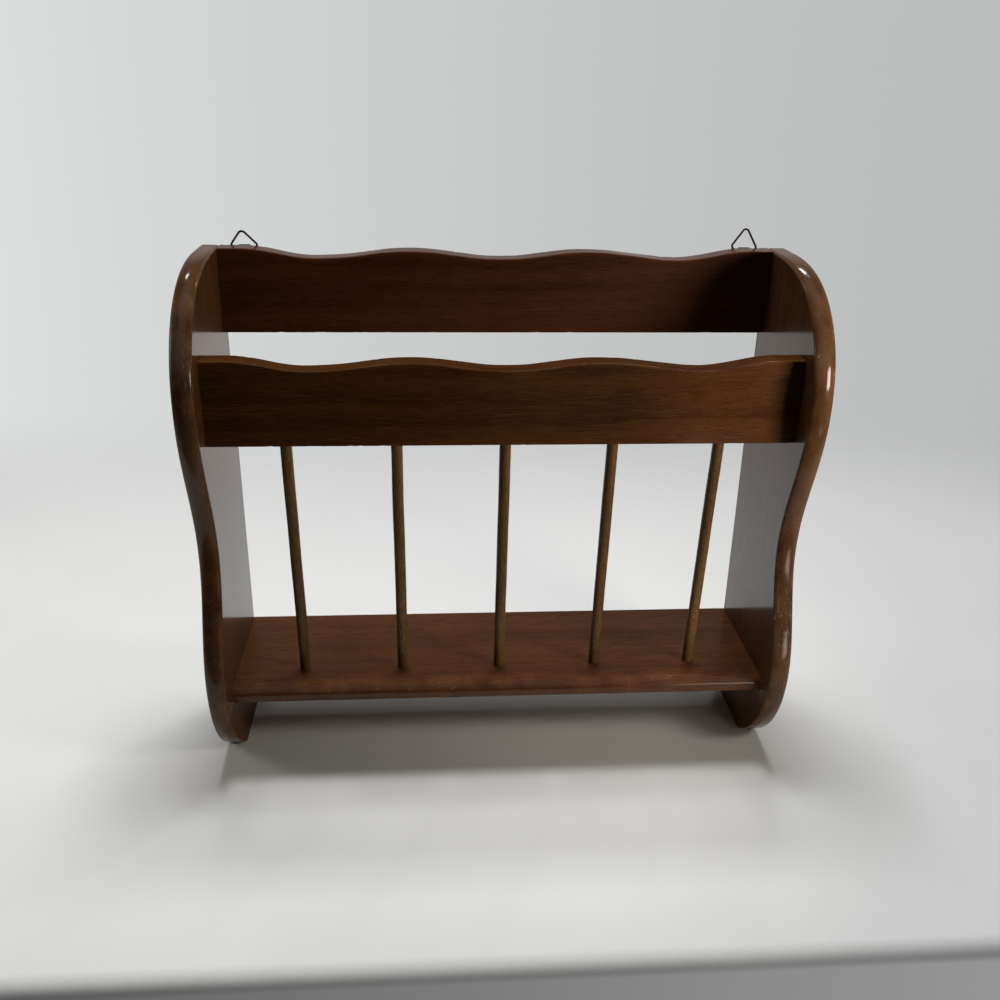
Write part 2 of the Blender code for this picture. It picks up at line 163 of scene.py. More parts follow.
class Tree:
    """A node tree with one way to add nodes."""

    def __init__(self, tree: NodeTree) -> None:
        """Takes an empty or cleared node tree."""
        self.tree = tree

    def add(self, kind: str, settings: dict | None = None, sockets: dict | None = None) -> Node:
        """Adds one node.

        Args:
            kind: The node's type.
            settings: Properties, which are set first.
            sockets: Values or links by the socket's name, or by its number where names repeat.

        Returns:
            The new node.
        """
        node = self.tree.nodes.new(kind)
        for name, value in (settings or {}).items():
            setattr(node, name, value)
        for name, value in (sockets or {}).items():
            self._feed(self._pick(node.inputs, name), value)
        return node

    def value(
        self, kind: str, output: str, settings: dict | None = None, sockets: dict | None = None
    ) -> Value:
        """Adds one node, with the same arguments as add, and returns its named output."""
        return self.read(self.add(kind, settings, sockets), output)

    def read(self, node: Node, output: str) -> Value:
        """The named output of a node."""
        return Value(self, self._pick(node.outputs, output))

    def math(self, operation: str, *terms: Feed) -> Value:
        """A Math node on these terms."""
        return self.value("ShaderNodeMath", "Value", {"operation": operation}, dict(enumerate(terms)))

    def vector(self, operation: str, *terms: Feed) -> Value:
        """A Vector Math node on these terms."""
        settings = {"operation": operation}
        return self.value("ShaderNodeVectorMath", "Vector", settings, dict(enumerate(terms)))

    def axes(self, vector: Feed) -> tuple[Value, Value, Value]:
        """The three numbers of a vector."""
        node = self.add("ShaderNodeSeparateXYZ", {}, {"Vector": vector})
        return self.read(node, "X"), self.read(node, "Y"), self.read(node, "Z")

    def joined(self, x: Feed, y: Feed, z: Feed) -> Value:
        """A vector of three numbers."""
        return self.value("ShaderNodeCombineXYZ", "Vector", {}, {"X": x, "Y": y, "Z": z})

    def speckle(self, vector: Feed, scale: float = 1.0, detail: float = 2.0, rough: float = 0.5) -> Value:
        """Smooth random numbers around 0.5 over a vector."""
        sockets = {"Vector": vector, "Scale": scale, "Detail": detail, "Roughness": rough}
        return self.value("ShaderNodeTexNoise", "Fac", {}, sockets)

    def sway(self, vector: Feed, scale: float) -> Value:
        """Smooth random vectors around (0.5, 0.5, 0.5) over a vector."""
        sockets = {"Vector": vector, "Scale": scale, "Detail": 1.0}
        return self.value("ShaderNodeTexNoise", "Color", {}, sockets)

    def blend(self, share: Feed, first: Feed, second: Feed) -> Value:
        """A colour between two others.

        Args:
            share: How much of the second there is, from 0 to 1.
            first: A colour or a link.
            second: A colour or a link.

        Returns:
            The mixed colour.
        """
        sockets = {"Factor": share, "A": self._tint(first), "B": self._tint(second)}
        return self.value("ShaderNodeMix", "Result", {"data_type": "RGBA"}, sockets)

    @staticmethod
    def _tint(colour: Feed) -> Feed:
        """A colour with its alpha, where it is given as three numbers."""
        return (*colour, 1.0) if isinstance(colour, tuple) else colour

    @staticmethod
    def _pick(sockets: bpy.types.bpy_prop_collection, name: str | int) -> NodeSocket:
        """The socket in use with this name or number.

        Args:
            sockets: A node's inputs or outputs.
            name: The name or number.

        Returns:
            The socket.
        """
        if isinstance(name, int):
            return sockets[name]
        return next(socket for socket in sockets if socket.name == name and socket.enabled)

    def _feed(self, socket: NodeSocket, value: Feed) -> None:
        """Links a socket or sets its own value.

        Args:
            socket: An input.
            value: What it gets.
        """
        if isinstance(value, Value):
            value = value.socket
        if isinstance(value, NodeSocket):
            self.tree.links.new(value, socket)
        else:
            socket.default_value = value


class ShaderTree(Tree):
    """The node tree of one material."""

    def __init__(self, name: str) -> None:
        """Makes the material and clears its tree.

        Args:
            name: The material's name.
        """
        self.material = bpy.data.materials.new(name)
        self.material.use_nodes = True
        self.material.node_tree.nodes.clear()
        super().__init__(self.material.node_tree)

    def place(self, turn: Triple = (0, 0, 0), shift: Triple = (0, 0, 0)) -> Value:
        """Object coordinates, moved and then turned."""
        moved = self.vector("ADD", self.value("ShaderNodeTexCoord", "Object"), shift)
        return self.stretched(moved, (1, 1, 1), turn)

    def stretched(self, vector: Feed, scale: Triple, turn: Triple = (0, 0, 0)) -> Value:
        """A vector through a Mapping node."""
        sockets = {"Vector": vector, "Rotation": turn, "Scale": scale}
        return self.value("ShaderNodeMapping", "Vector", {}, sockets)

    def strands(
        self, vector: Feed, scale: Triple, detail: float, rough: float = 0.5, turn: Triple = (0, 0, 0)
    ) -> Value:
        """Smooth random numbers over a vector that is turned and stretched first."""
        return self.speckle(self.stretched(vector, scale, turn), 1.0, detail, rough)

    def mark(self, name: str) -> Value:
        """A number that the mesh holds at its points."""
        return self.value("ShaderNodeAttribute", "Fac", {"attribute_name": name})

    def bump(self, relief: Feed, depth: float) -> Value:
        """Normals of a relief of heights from 0 to 1 that is this deep, in metres."""
        return self.value("ShaderNodeBump", "Normal", {}, {"Height": relief, "Distance": depth})

    def close(self, shader: Feed) -> Material:
        """Ends the tree with this shader and returns the material."""
        self.add("ShaderNodeOutputMaterial", {}, {"Surface": shader})
        return self.material

    def finish(self, sockets: dict, relief: Value, depth: float) -> Material:
        """Ends the tree with a Principled shader.

        Args:
            sockets: The shader's values and links.
            relief: Heights from 0 to 1.
            depth: How deep the relief is, in metres.

        Returns:
            The finished material.
        """
        sockets["Normal"] = self.bump(relief, depth)
        return self.close(self.value("ShaderNodeBsdfPrincipled", "BSDF", {}, sockets))


class GeometryTree(Tree):
    """A Geometry Nodes tree with named inputs, which makes plain meshes."""

    def __init__(self, name: str) -> None:
        """Makes the tree with its input node and its output.

        Args:
            name: The tree's name.
        """
        super().__init__(bpy.data.node_groups.new(name, "GeometryNodeTree"))
        self.tree.interface.new_socket(name="Geometry", in_out="OUTPUT", socket_type="NodeSocketGeometry")
        self.entry = self.tree.nodes.new("NodeGroupInput")

    def ask(self, name: str, kind: str = "NodeSocketFloat") -> Value:
        """Adds a named input of the tree and returns it."""
        self.tree.interface.new_socket(name=name, in_out="INPUT", socket_type=kind)
        return self.read(self.entry, name)

    def ask_all(self, *names: str, kind: str = "NodeSocketFloat") -> list[Value]:
        """Adds several inputs of one kind."""
        return [self.ask(name, kind) for name in names]

    def line(self, start: Feed, end: Feed, points: int) -> Value:
        """A straight curve of so many points.

        Args:
            start: Where it starts.
            end: Where it ends.
            points: How many points it has.

        Returns:
            The curve.
        """
        ends = {"Start": start, "End": end}
        curve = self.value("GeometryNodeCurvePrimitiveLine", "Curve", {}, ends)
        sockets = {"Curve": curve, "Count": points}
        return self.value("GeometryNodeResampleCurve", "Curve", {"mode": "COUNT"}, sockets)

    def circle(self, points: int, radius: Feed) -> Value:
        """A round curve of so many points."""
        sockets = {"Resolution": points, "Radius": radius}
        return self.value("GeometryNodeCurvePrimitiveCircle", "Curve", {}, sockets)

    def rounded(self, curve: Feed, points: int, radius: Feed) -> Value:
        """A curve with its corners rounded by so many points."""
        sockets = {"Curve": curve, "Count": points, "Radius": radius}
        return self.value("GeometryNodeFilletCurve", "Curve", {"mode": "POLY"}, sockets)

    def swept(self, path: Feed, section: Feed, capped: bool) -> Value:
        """A mesh with this section all along a path."""
        sockets = {"Curve": path, "Profile Curve": section, "Fill Caps": capped}
        return self.value("GeometryNodeCurveToMesh", "Mesh", {}, sockets)

    def moved(self, geometry: Feed, offset: Feed) -> Value:
        """Geometry with its points moved."""
        sockets = {"Geometry": geometry, "Offset": offset}
        return self.value("GeometryNodeSetPosition", "Geometry", {}, sockets)

    def realized(self, geometry: Feed) -> Value:
        """Instances as real meshes."""
        return self.value("GeometryNodeRealizeInstances", "Geometry", {}, {"Geometry": geometry})

    def repeated(self, shape: Feed, turn: Feed = (0, 0, 0)) -> Value:
        """Copies of a shape in a row, for which it asks the inputs Count, First and Pitch.

        Args:
            shape: What is copied.
            turn: How each copy is turned.

        Returns:
            The copies, as instances.
        """
        count = self.ask("Count", "NodeSocketInt")
        first, pitch = self.ask_all("First", "Pitch", kind="NodeSocketVector")
        places = {"Count": count, "Start Location": first, "Offset": pitch}
        row = self.value("GeometryNodeMeshLine", "Mesh", {}, places)
        sockets = {"Points": row, "Instance": shape, "Rotation": turn}
        return self.value("GeometryNodeInstanceOnPoints", "Instances", {}, sockets)

    def close(self, geometry: Feed) -> None:
        """Ends the tree: real meshes, smooth shading and the material that is asked for.

        Args:
            geometry: What the tree has made.
        """
        finish = self.ask("Material", "NodeSocketMaterial")
        real = self.realized(geometry)
        smooth = self.value("GeometryNodeSetShadeSmooth", "Geometry", {}, {"Geometry": real})
        sockets = {"Geometry": smooth, "Material": finish}
        dressed = self.value("GeometryNodeSetMaterial", "Geometry", {}, sockets)
        self.add("NodeGroupOutput", {}, {"Geometry": dressed})

    def make(self, name: str, inputs: dict) -> Object:
        """Runs the tree once.

        Args:
            name: The name of the piece.
            inputs: The tree's inputs by name.

        Returns:
            An object with the result as a plain mesh, at the origin.
        """
        maker = bpy.data.objects.new(f"{name}_maker", bpy.data.meshes.new(f"{name}_maker"))
        bpy.context.scene.collection.objects.link(maker)
        modifier = maker.modifiers.new("nodes", "NODES")
        modifier.node_group = self.tree
        for label, value in inputs.items():
            modifier[self.tree.interface.items_tree[label].identifier] = value
        mesh = plain_mesh(maker, name)
        bpy.data.objects.remove(maker, do_unlink=True)
        return link_piece(name, mesh)


def plain_mesh(maker: Object, name: str) -> Mesh:
    """Takes an object's evaluated mesh as a mesh of its own.

    Args:
        maker: An object with modifiers.
        name: The name of the mesh.

    Returns:
        The new mesh.
    """
    bpy.context.view_layer.update()
    graph = bpy.context.evaluated_depsgraph_get()
    mesh = bpy.data.meshes.new_from_object(
        maker.evaluated_get(graph), preserve_all_data_layers=True, depsgraph=graph
    )
    mesh.name = name
    return mesh


def link_piece(name: str, mesh: Mesh) -> Object:
    """Puts a mesh in the scene.

    Args:
        name: The name of the piece.
        mesh: Its mesh.

    Returns:
        The new object.
    """
    piece = bpy.data.objects.new(name, mesh)
    bpy.context.scene.collection.objects.link(piece)
    return piece


def mesh_piece(shape: BMesh, name: str, finish: Material | None = None) -> Object:
    """Turns a shape into a piece, and frees the shape.

    Args:
        shape: The finished shape.
        name: The name of the piece.
        finish: Its material, if it has one.

    Returns:
        The piece, in the scene.
    """
    mesh = bpy.data.meshes.new(name)
    shape.to_mesh(mesh)
    shape.free()
    if finish:
        mesh.materials.append(finish)
    return link_piece(name, mesh)


def apply_modifiers(piece: Object) -> None:
    """Keeps what a piece's modifiers make of it as its plain mesh.

    Args:
        piece: The piece, which loses its modifiers.
    """
    mesh = plain_mesh(piece, piece.name)
    piece.modifiers.clear()
    piece.data = mesh


def settle_normals(piece: Object) -> None:
    """Keeps broad faces flat where they meet a small rounding, as plain mesh data.

    Args:
        piece: A smooth piece without modifiers.
    """
    piece.data.set_sharp_from_angle(angle=math.radians(60))
    weighted = piece.modifiers.new("weighted", "WEIGHTED_NORMAL")
    weighted.mode = "FACE_AREA"
    weighted.weight = 100
    weighted.keep_sharp = True
    apply_modifiers(piece)


def seat(piece: Object, body: str, nodes: list[str]) -> None:
    """Puts a finished piece on its body, in place of CAD nodes.

    Args:
        piece: The finished piece, at the origin.
        body: The body that carries it.
        nodes: The CAD nodes that it stands for.
    """
    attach(piece, body)
    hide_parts(*nodes)
    log.info("%s rides on %s and has %d faces", piece.name, body, len(piece.data.polygons))


def skin(shape: BMesh, rows: list[list[BMVert]]) -> None:
    """Joins each row of points to the next with smooth faces.

    Args:
        shape: The shape that gets the faces.
        rows: Its points, the same number in each row.
    """
    for row, following in zip(rows, rows[1:]):
        for k in range(len(row) - 1):
            shape.faces.new((row[k], row[k + 1], following[k + 1], following[k])).smooth = True


def cosine_ease(start: float, end: float, share: float) -> float:
    """From start to end along half a cosine wave."""
    return start + (end - start) * (1 - math.cos(math.pi * share)) / 2


def arc(radius: float, first: float, last: float, steps: int) -> list[Pair]:
    """Points of a circle between two angles, both ends included."""
    angles = [first + (last - first) * k / steps for k in range(steps + 1)]
    return [(radius * math.cos(angle), radius * math.sin(angle)) for angle in angles]


def bow_radius(half: float, rise: float) -> float:
    """Radius of an arc that is twice half wide and rises this far."""
    return (half**2 + rise**2) / (2 * rise)


def bend(first: Pair, corner: Pair, last: Pair, share: float) -> Pair:
    """A point at this share of the curve that eases a corner between two points."""
    weights = ((1 - share) ** 2, 2 * share * (1 - share), share**2)
    return tuple(sum(w * p[i] for w, p in zip(weights, (first, corner, last))) for i in (0, 1))


@dataclass(frozen=True)
class WoodFinish:
    """Stained wood under lacquer. Fibres, pores, bands and wear come from nodes.

    The colours are linear: deep is the stain in the dark bands, warm in the light ones, bright is
    the fibre that catches light, and bare is wood where the stain is rubbed through. The faces that
    lie nearer the middle than inner_face have no lacquer below the height unlacquered.
    """

    name: str
    deep: Colour
    warm: Colour
    bright: Colour
    grain: Grain
    shift: Triple
    bare: Colour = (0.30, 0.19, 0.105)
    pore: Colour = (0.008, 0.004, 0.003)
    haze: Colour = (0.150, 0.122, 0.093)
    streaks: float = 0.6
    coat_roughness: float = 0.13
    base_roughness: float = 0.46
    coat: float = 0.85
    relief: float = 0.02 * MM
    unlacquered: float = 0.0
    inner_face: float = 200.2 * MM
    inner_fade: float = 0.4 * MM
    lower_fade: float = 3 * MM

    def material(self) -> Material:
        """Builds the material.

        Returns:
            The finished material.
        """
        tree = ShaderTree(self.name)
        place = tree.place(self.grain.value, self.shift)
        bent = tree.vector("MULTIPLY_ADD", tree.sway(place, 6.0), (0.0, 0.014, 0.014), place)
        bands = tree.strands(bent, (2.2, 95.0, 95.0), 3.0, 0.55)
        lines = tree.strands(bent, (9.0, 620.0, 620.0), 2.0)
        fibres = tree.strands(bent, (48.0, 1700.0, 1700.0), 2.0, 0.6)
        pores = tree.strands(bent, (75.0, 2300.0, 2300.0), 1.0)
        blotches = tree.speckle(place, 9.0, 2.0)
        figure = 0.5 + (bands - 0.5) * self.streaks + (blotches - 0.5) * 0.5
        stain = tree.blend(figure.rise(0.25, 0.75), self.deep, self.warm)
        stain = tree.blend(lines.rise(0.50, 0.80) * 0.35 * self.streaks, stain, self.deep)
        stain = tree.blend(fibres.rise(0.46, 0.78) * 0.5, stain, self.bright)
        pitted = pores.rise(0.58, 0.68)
        stain = tree.blend(pitted * 0.6, stain, self.pore)
        edge = tree.mark("wear").within()
        hazed, rubbed, chipped = self._wear(tree, place, edge)
        # Rubbed arrises turn lighter: real wear, set this strong partly as painted light on the shelf's
        # front-facing nose
        stain = tree.blend(rubbed * 0.55, stain, self.bright)
        stain = tree.blend(hazed, stain, self.haze)
        stain = tree.blend(chipped, stain, self.bare)
        roughness = self.base_roughness + fibres * 0.10 + (rubbed + hazed) * 0.12 + chipped * 0.2
        lacquer = self.coat - edge * 0.35 - hazed * 0.5 - rubbed * 0.2 - chipped * 0.8
        if self.unlacquered:
            lacquer = lacquer * (1 - self._raw(tree))
        sockets = {
            "Base Color": stain,
            "Roughness": roughness,
            "Specular IOR Level": 0.04,
            "Coat Weight": lacquer.within(),
            "Coat Roughness": self.coat_roughness,
            "Coat IOR": 1.38,
        }
        return tree.finish(sockets, fibres * 0.4 - pitted * 0.4 - chipped, self.relief)

    def _raw(self, tree: ShaderTree) -> Value:
        """Where the inner faces were left without lacquer, under the shelf.

        Args:
            tree: The material's tree.

        Returns:
            The share of the lacquer that is missing.
        """
        x, _, z = tree.axes(tree.place())
        inner = abs(x).rise(self.inner_face + self.inner_fade, self.inner_face)
        return inner * z.rise(self.unlacquered + self.lower_fade, self.unlacquered) * 0.9

    def _wear(self, tree: ShaderTree, place: Value, edge: Value) -> tuple[Value, Value, Value]:
        """Where the lacquer is dulled, rubbed and chipped, from the marks on the mesh.

        Args:
            tree: The material's tree.
            place: Coordinates with the fibres along X.
            edge: The mesh's mark for its arrises.

        Returns:
            Three shares from 0 to 1: grey haze with scratches, rubbed stain and bare chips.
        """
        scuff = tree.mark("scuff")
        clouds = tree.speckle(place, 55.0, 3.0)
        grit = tree.strands(place, (230.0, 520.0, 520.0), 3.0, 0.65)
        scratch = tree.strands(place, (34.0, 820.0, 820.0), 1.0, turn=(0.0, 0.06, 0.10))
        cross = tree.strands(place, (60.0, 700.0, 700.0), 1.0, turn=(0.2, 0.5, 0.6))
        marks = scratch.rise(0.62, 0.68) * 0.5 + cross.rise(0.64, 0.69) * 0.6
        hazed = scuff * (clouds.rise(0.35, 0.70) * 0.22 + marks)
        rubbed = edge * clouds.rise(0.36, 0.66)
        chipped = edge * grit.rise(0.64, 0.69) * clouds.rise(0.45, 0.60) * 0.8
        chipped = chipped + scuff * grit.rise(0.62, 0.67) * 0.6
        return hazed.within(), rubbed.within(), chipped.within()


@dataclass(frozen=True)
class BareWood:
    """Unfinished wood of the hidden joint pins."""

    name: str = "bare_pin_wood"
    pale: Colour = (0.55, 0.38, 0.21)
    dark: Colour = (0.38, 0.24, 0.12)
    relief: float = 0.05 * MM

    def material(self) -> Material:
        """Builds the material.

        Returns:
            The finished material.
        """
        tree = ShaderTree(self.name)
        fibres = tree.strands(tree.place(), (60.0, 1500.0, 1500.0), 3.0)
        colour = tree.blend(fibres.rise(0.35, 0.70), self.pale, self.dark)
        sockets = {"Base Color": colour, "Roughness": 0.62 + fibres * 0.2}
        return tree.finish(sockets, fibres, self.relief)


@dataclass(frozen=True)
class BlackSteel:
    """Blackened steel, with brown bloom."""

    name: str
    black: Colour = (0.006, 0.006, 0.007)
    bloom: Colour = (0.022, 0.016, 0.013)
    roughness: float = 0.42
    relief: float = 0.02 * MM

    def material(self) -> Material:
        """Builds the material.

        Returns:
            The finished material.
        """
        tree = ShaderTree(self.name)
        place = tree.place()
        clouds = tree.speckle(place, 420.0, 3.0, 0.6)
        grit = tree.speckle(place, 2600.0, 2.0)
        colour = tree.blend(clouds.rise(0.52, 0.74), self.black, self.bloom)
        sockets = {
            "Base Color": colour,
            "Metallic": 0.3 - clouds.rise(0.5, 0.75) * 0.2,
            "Specular IOR Level": 0.25,
            "Roughness": self.roughness + clouds * 0.16 + grit * 0.06,
        }
        return tree.finish(sockets, grit, self.relief)


@dataclass(frozen=True)
class ScrewSteel:
    """Dull plated steel with stains, and darker on the floor of its slot."""

    name: str = "dull_screw_steel"
    bright: Colour = (0.42, 0.40, 0.37)
    dull: Colour = (0.16, 0.13, 0.10)
    relief: float = 0.02 * MM

    def material(self) -> Material:
        """Builds the material.

        Returns:
            The finished material.
        """
        tree = ShaderTree(self.name)
        clouds = tree.speckle(tree.place(), 700.0, 3.0)
        # The floor of the slot is darker, as are the stained patches
        grime = (tree.mark("grime") + clouds.rise(0.55, 0.8) * 0.6).within()
        colour = tree.blend(grime, self.bright, self.dull)
        sockets = {"Base Color": colour, "Metallic": 1.0, "Roughness": 0.30 + grime * 0.35}
        return tree.finish(sockets, clouds, self.relief)


@dataclass
class RackSizes:
    """Places that all pieces share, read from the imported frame."""

    inner: float = field(init=False)
    thick: float = field(init=False)
    height: float = field(init=False)
    back: float = field(init=False)

    def __post_init__(self) -> None:
        """Reads the right panel's box."""
        low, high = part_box("side_panel_right")
        self.inner = low.x
        self.thick = high.x - low.x
        self.height = high.z
        self.back = high.y

    def at(self, x: float, reach: float, height: float) -> Vector:
        """The point at this place across, this far forward of the back and this high."""
        return Vector((x, self.back - reach, height))


class Station(NamedTuple):
    """One place on a panel's outline, with its share of the full crown."""

    reach: float
    height: float
    crown: float


class ScuffMark(NamedTuple):
    """A rubbed place on a panel's front edge: its height, how far it spreads and how strong it is."""

    height: float
    spread: float
    strength: float

    def at(self, height: float) -> float:
        """How strong the mark is at this height."""
        return self.strength * math.exp(-(((height - self.height) / self.spread) ** 2))


class Dents(NamedTuple):
    """Random dents: a coarse and a fine scale, the fine one's share and the level that stays smooth."""

    coarse: float
    fine: float
    share: float
    smooth: float

    def at(self, place: Vector) -> float:
        """How deep the dents are at this place, from 0."""
        level = noise.noise(place * self.coarse) + self.share * noise.noise(place * self.fine)
        return max(0.0, level - self.smooth)


@dataclass
class SidePanel:
    """A shaped side board with a crowned front edge.

    The belly, the waist and the toe are the bends of the front edge as (reach, height). A curve's
    bulge is its length over that of its chord, and a worn share is the wear where it is least.
    """

    sizes: RackSizes
    side: Side
    wood: Material
    scuffs: tuple[ScuffMark, ...]
    top_flat: float = 24.0 * MM
    squareness: float = 2.28
    belly: Pair = (128.4 * MM, 293.0 * MM)
    waist: Pair = (103.5 * MM, 180.0 * MM)
    toe: Pair = (124.5 * MM, 88.0 * MM)
    foot_flat: float = 71.0 * MM
    crown: float = 3.0 * MM
    eased: float = 1.1 * MM
    top_eased: float = 2.6 * MM
    top_run: float = 28.0 * MM
    corner: float = 1.2 * MM
    step: float = 1.6 * MM
    shoulder_bulge: float = 1.15
    toe_bulge: float = 1.1
    crown_steps: int = 14
    ease_steps: int = 4
    corner_steps: int = 5
    crown_run: float = 0.5
    chip_depth: float = 0.35 * MM
    dents: Dents = Dents(130.0, 410.0, 0.6, 0.25)
    worn_middle: float = 0.35
    worn_flat: float = 0.25
    scuffed_middle: float = 0.4

    def outline(self) -> list[Station]:
        """Goes round the board, from the back of its top over the front to the back of its foot.

        Returns:
            The stations.
        """
        stations = self._corner(self.sizes.height, 0.0, math.pi / 2)
        stations += self._straight(self.corner, self.top_flat, self.sizes.height)
        stations += self._shoulder()
        stations += self._wave(self.belly, self.waist) + self._wave(self.waist, self.toe)
        stations += self._foot()
        stations += self._straight(self.foot_flat, self.corner, 0.0)[1:]
        stations += self._corner(0.0, -math.pi / 2, 0.0)
        return stations

    def _corner(self, height: float, first: float, last: float) -> list[Station]:
        """The small rounding of a back corner.

        Args:
            height: The board's top or foot.
            first: The angle that it starts at.
            last: The angle that it runs to.

        Returns:
            Its stations.
        """
        middle = height - math.copysign(self.corner, height - self.corner)
        turn = arc(self.corner, first, last, self.corner_steps)[:-1]
        return [Station(self.corner - back, middle + up, 0.0) for back, up in turn]

    def _straight(self, start: float, end: float, height: float) -> list[Station]:
        """A level stretch of the outline."""
        steps = max(1, round(abs(end - start) / self.step))
        return [Station(start + (end - start) * k / steps, height, 0.0) for k in range(steps)]

    def _shoulder(self) -> list[Station]:
        """The round shoulder, a quarter of a squarish ellipse.

        Returns:
            Its stations, down to the belly.
        """
        rise = self.sizes.height - self.belly[1]
        run = self.belly[0] - self.top_flat
        steps = round(math.hypot(rise, run) * self.shoulder_bulge / self.step)
        power = 2 / self.squareness
        stations = []
        for k in range(steps):
            share = k / steps
            angle = share * math.pi / 2
            reach = self.top_flat + run * math.sin(angle) ** power
            height = self.belly[1] + rise * math.cos(angle) ** power
            stations.append(Station(reach, height, cosine_ease(0, 1, min(1.0, share / self.crown_run))))
        return stations

    def _wave(self, start: Pair, end: Pair) -> list[Station]:
        """Half a wave of the front edge.

        Args:
            start: The bend that it starts from.
            end: The bend that it runs down to.

        Returns:
            Its stations.
        """
        steps = round(abs(end[1] - start[1]) / self.step)
        stations = []
        for k in range(steps):
            share = k / steps
            height = start[1] + (end[1] - start[1]) * share
            stations.append(Station(cosine_ease(start[0], end[0], share), height, 1.0))
        return stations

    def _foot(self) -> list[Station]:
        """The round toe, down to the corner where the foot is cut off level.

        Returns:
            Its stations.
        """
        turn = math.acos(self.foot_flat / self.toe[0])
        chord = math.hypot(self.toe[0] - self.foot_flat, self.toe[1])
        steps = round(chord * self.toe_bulge / self.step)
        stations = []
        for k in range(steps + 1):
            share = k / steps
            height = self.toe[1] * (1 - math.sin(turn * share) / math.sin(turn))
            stations.append(Station(self.toe[0] * math.cos(turn * share), height, cosine_ease(1, 0, share)))
        return stations

    def _section(self, station: Station) -> list[Triple]:
        """The edge's section, eased at both arrises and most at the board's top.

        Args:
            station: The place on the outline.

        Returns:
            The section's points, as (across, rise, wear).
        """
        half = self.sizes.thick / 2
        upper = max(0.0, 1 - (self.sizes.height - station.height) / self.top_run) * (1 - station.crown)
        eased = self.eased + (self.top_eased - self.eased) * upper
        radius = bow_radius(half, self.crown)

        def crowned(across: float) -> float:
            """Rise of the crowned edge at this place across."""
            return station.crown * (math.sqrt(radius**2 - across**2) - (radius - self.crown))

        knee = half - eased
        arris = (half, -eased), (half, 0.0), (knee, crowned(knee))
        side = []
        for k in range(self.ease_steps):
            share = k / self.ease_steps
            side.append((*bend(*arris, share), math.sin(math.pi / 2 * share)))
        middle = []
        for k in range(self.crown_steps + 1):
            across = knee * (1 - 2 * k / self.crown_steps)
            wear = self.worn_middle + (1 - self.worn_middle) * (abs(across) / knee) ** 2
            middle.append((across, crowned(across), wear))
        return side + middle + [(-across, rise, wear) for across, rise, wear in reversed(side)]

    def _scuffed(self, station: Station, wear: float) -> float:
        """How strongly the front edge is rubbed at this station and where it is this worn."""
        strength = min(1.0, sum(mark.at(station.height) for mark in self.scuffs))
        return strength * min(1.0, self.scuffed_middle + wear) * station.crown

    def build(self) -> None:
        """Lofts the section round the outline and closes both broad faces."""
        shape = bmesh.new()
        wear_layer = shape.verts.layers.float.new("wear")
        scuff_layer = shape.verts.layers.float.new("scuff")
        stations = self.outline()
        middle = self.side.value * (self.sizes.inner + self.sizes.thick / 2)
        rows = []
        for i, station in enumerate(stations):
            before = stations[i - 1]
            after = stations[(i + 1) % len(stations)]
            along = Vector((after.reach - before.reach, after.height - before.height)).normalized()
            row = []
            section = self._section(station)
            for k, (across, rise, wear) in enumerate(section):
                rim = k in (0, len(section) - 1)
                spot = self.sizes.at(middle + across, station.reach, station.height)
                lift = rise - (0.0 if rim else self.chip_depth * wear * self.dents.at(spot))
                spot += Vector((0, along.y * lift, along.x * lift))
                vertex = shape.verts.new(spot)
                vertex[wear_layer] = wear * (self.worn_flat + (1 - self.worn_flat) * station.crown)
                vertex[scuff_layer] = 0.0 if rim else self._scuffed(station, wear)
                row.append(vertex)
            rows.append(row)
        skin(shape, rows + rows[:1])
        shape.faces.new([row[0] for row in rows])
        shape.faces.new([row[-1] for row in reversed(rows)])
        bmesh.ops.recalc_face_normals(shape, faces=shape.faces)
        piece = mesh_piece(shape, f"{self.side.word}_side_board", self.wood)
        seat(piece, RACK_BODY, [f"side_panel_{self.side.word}"])


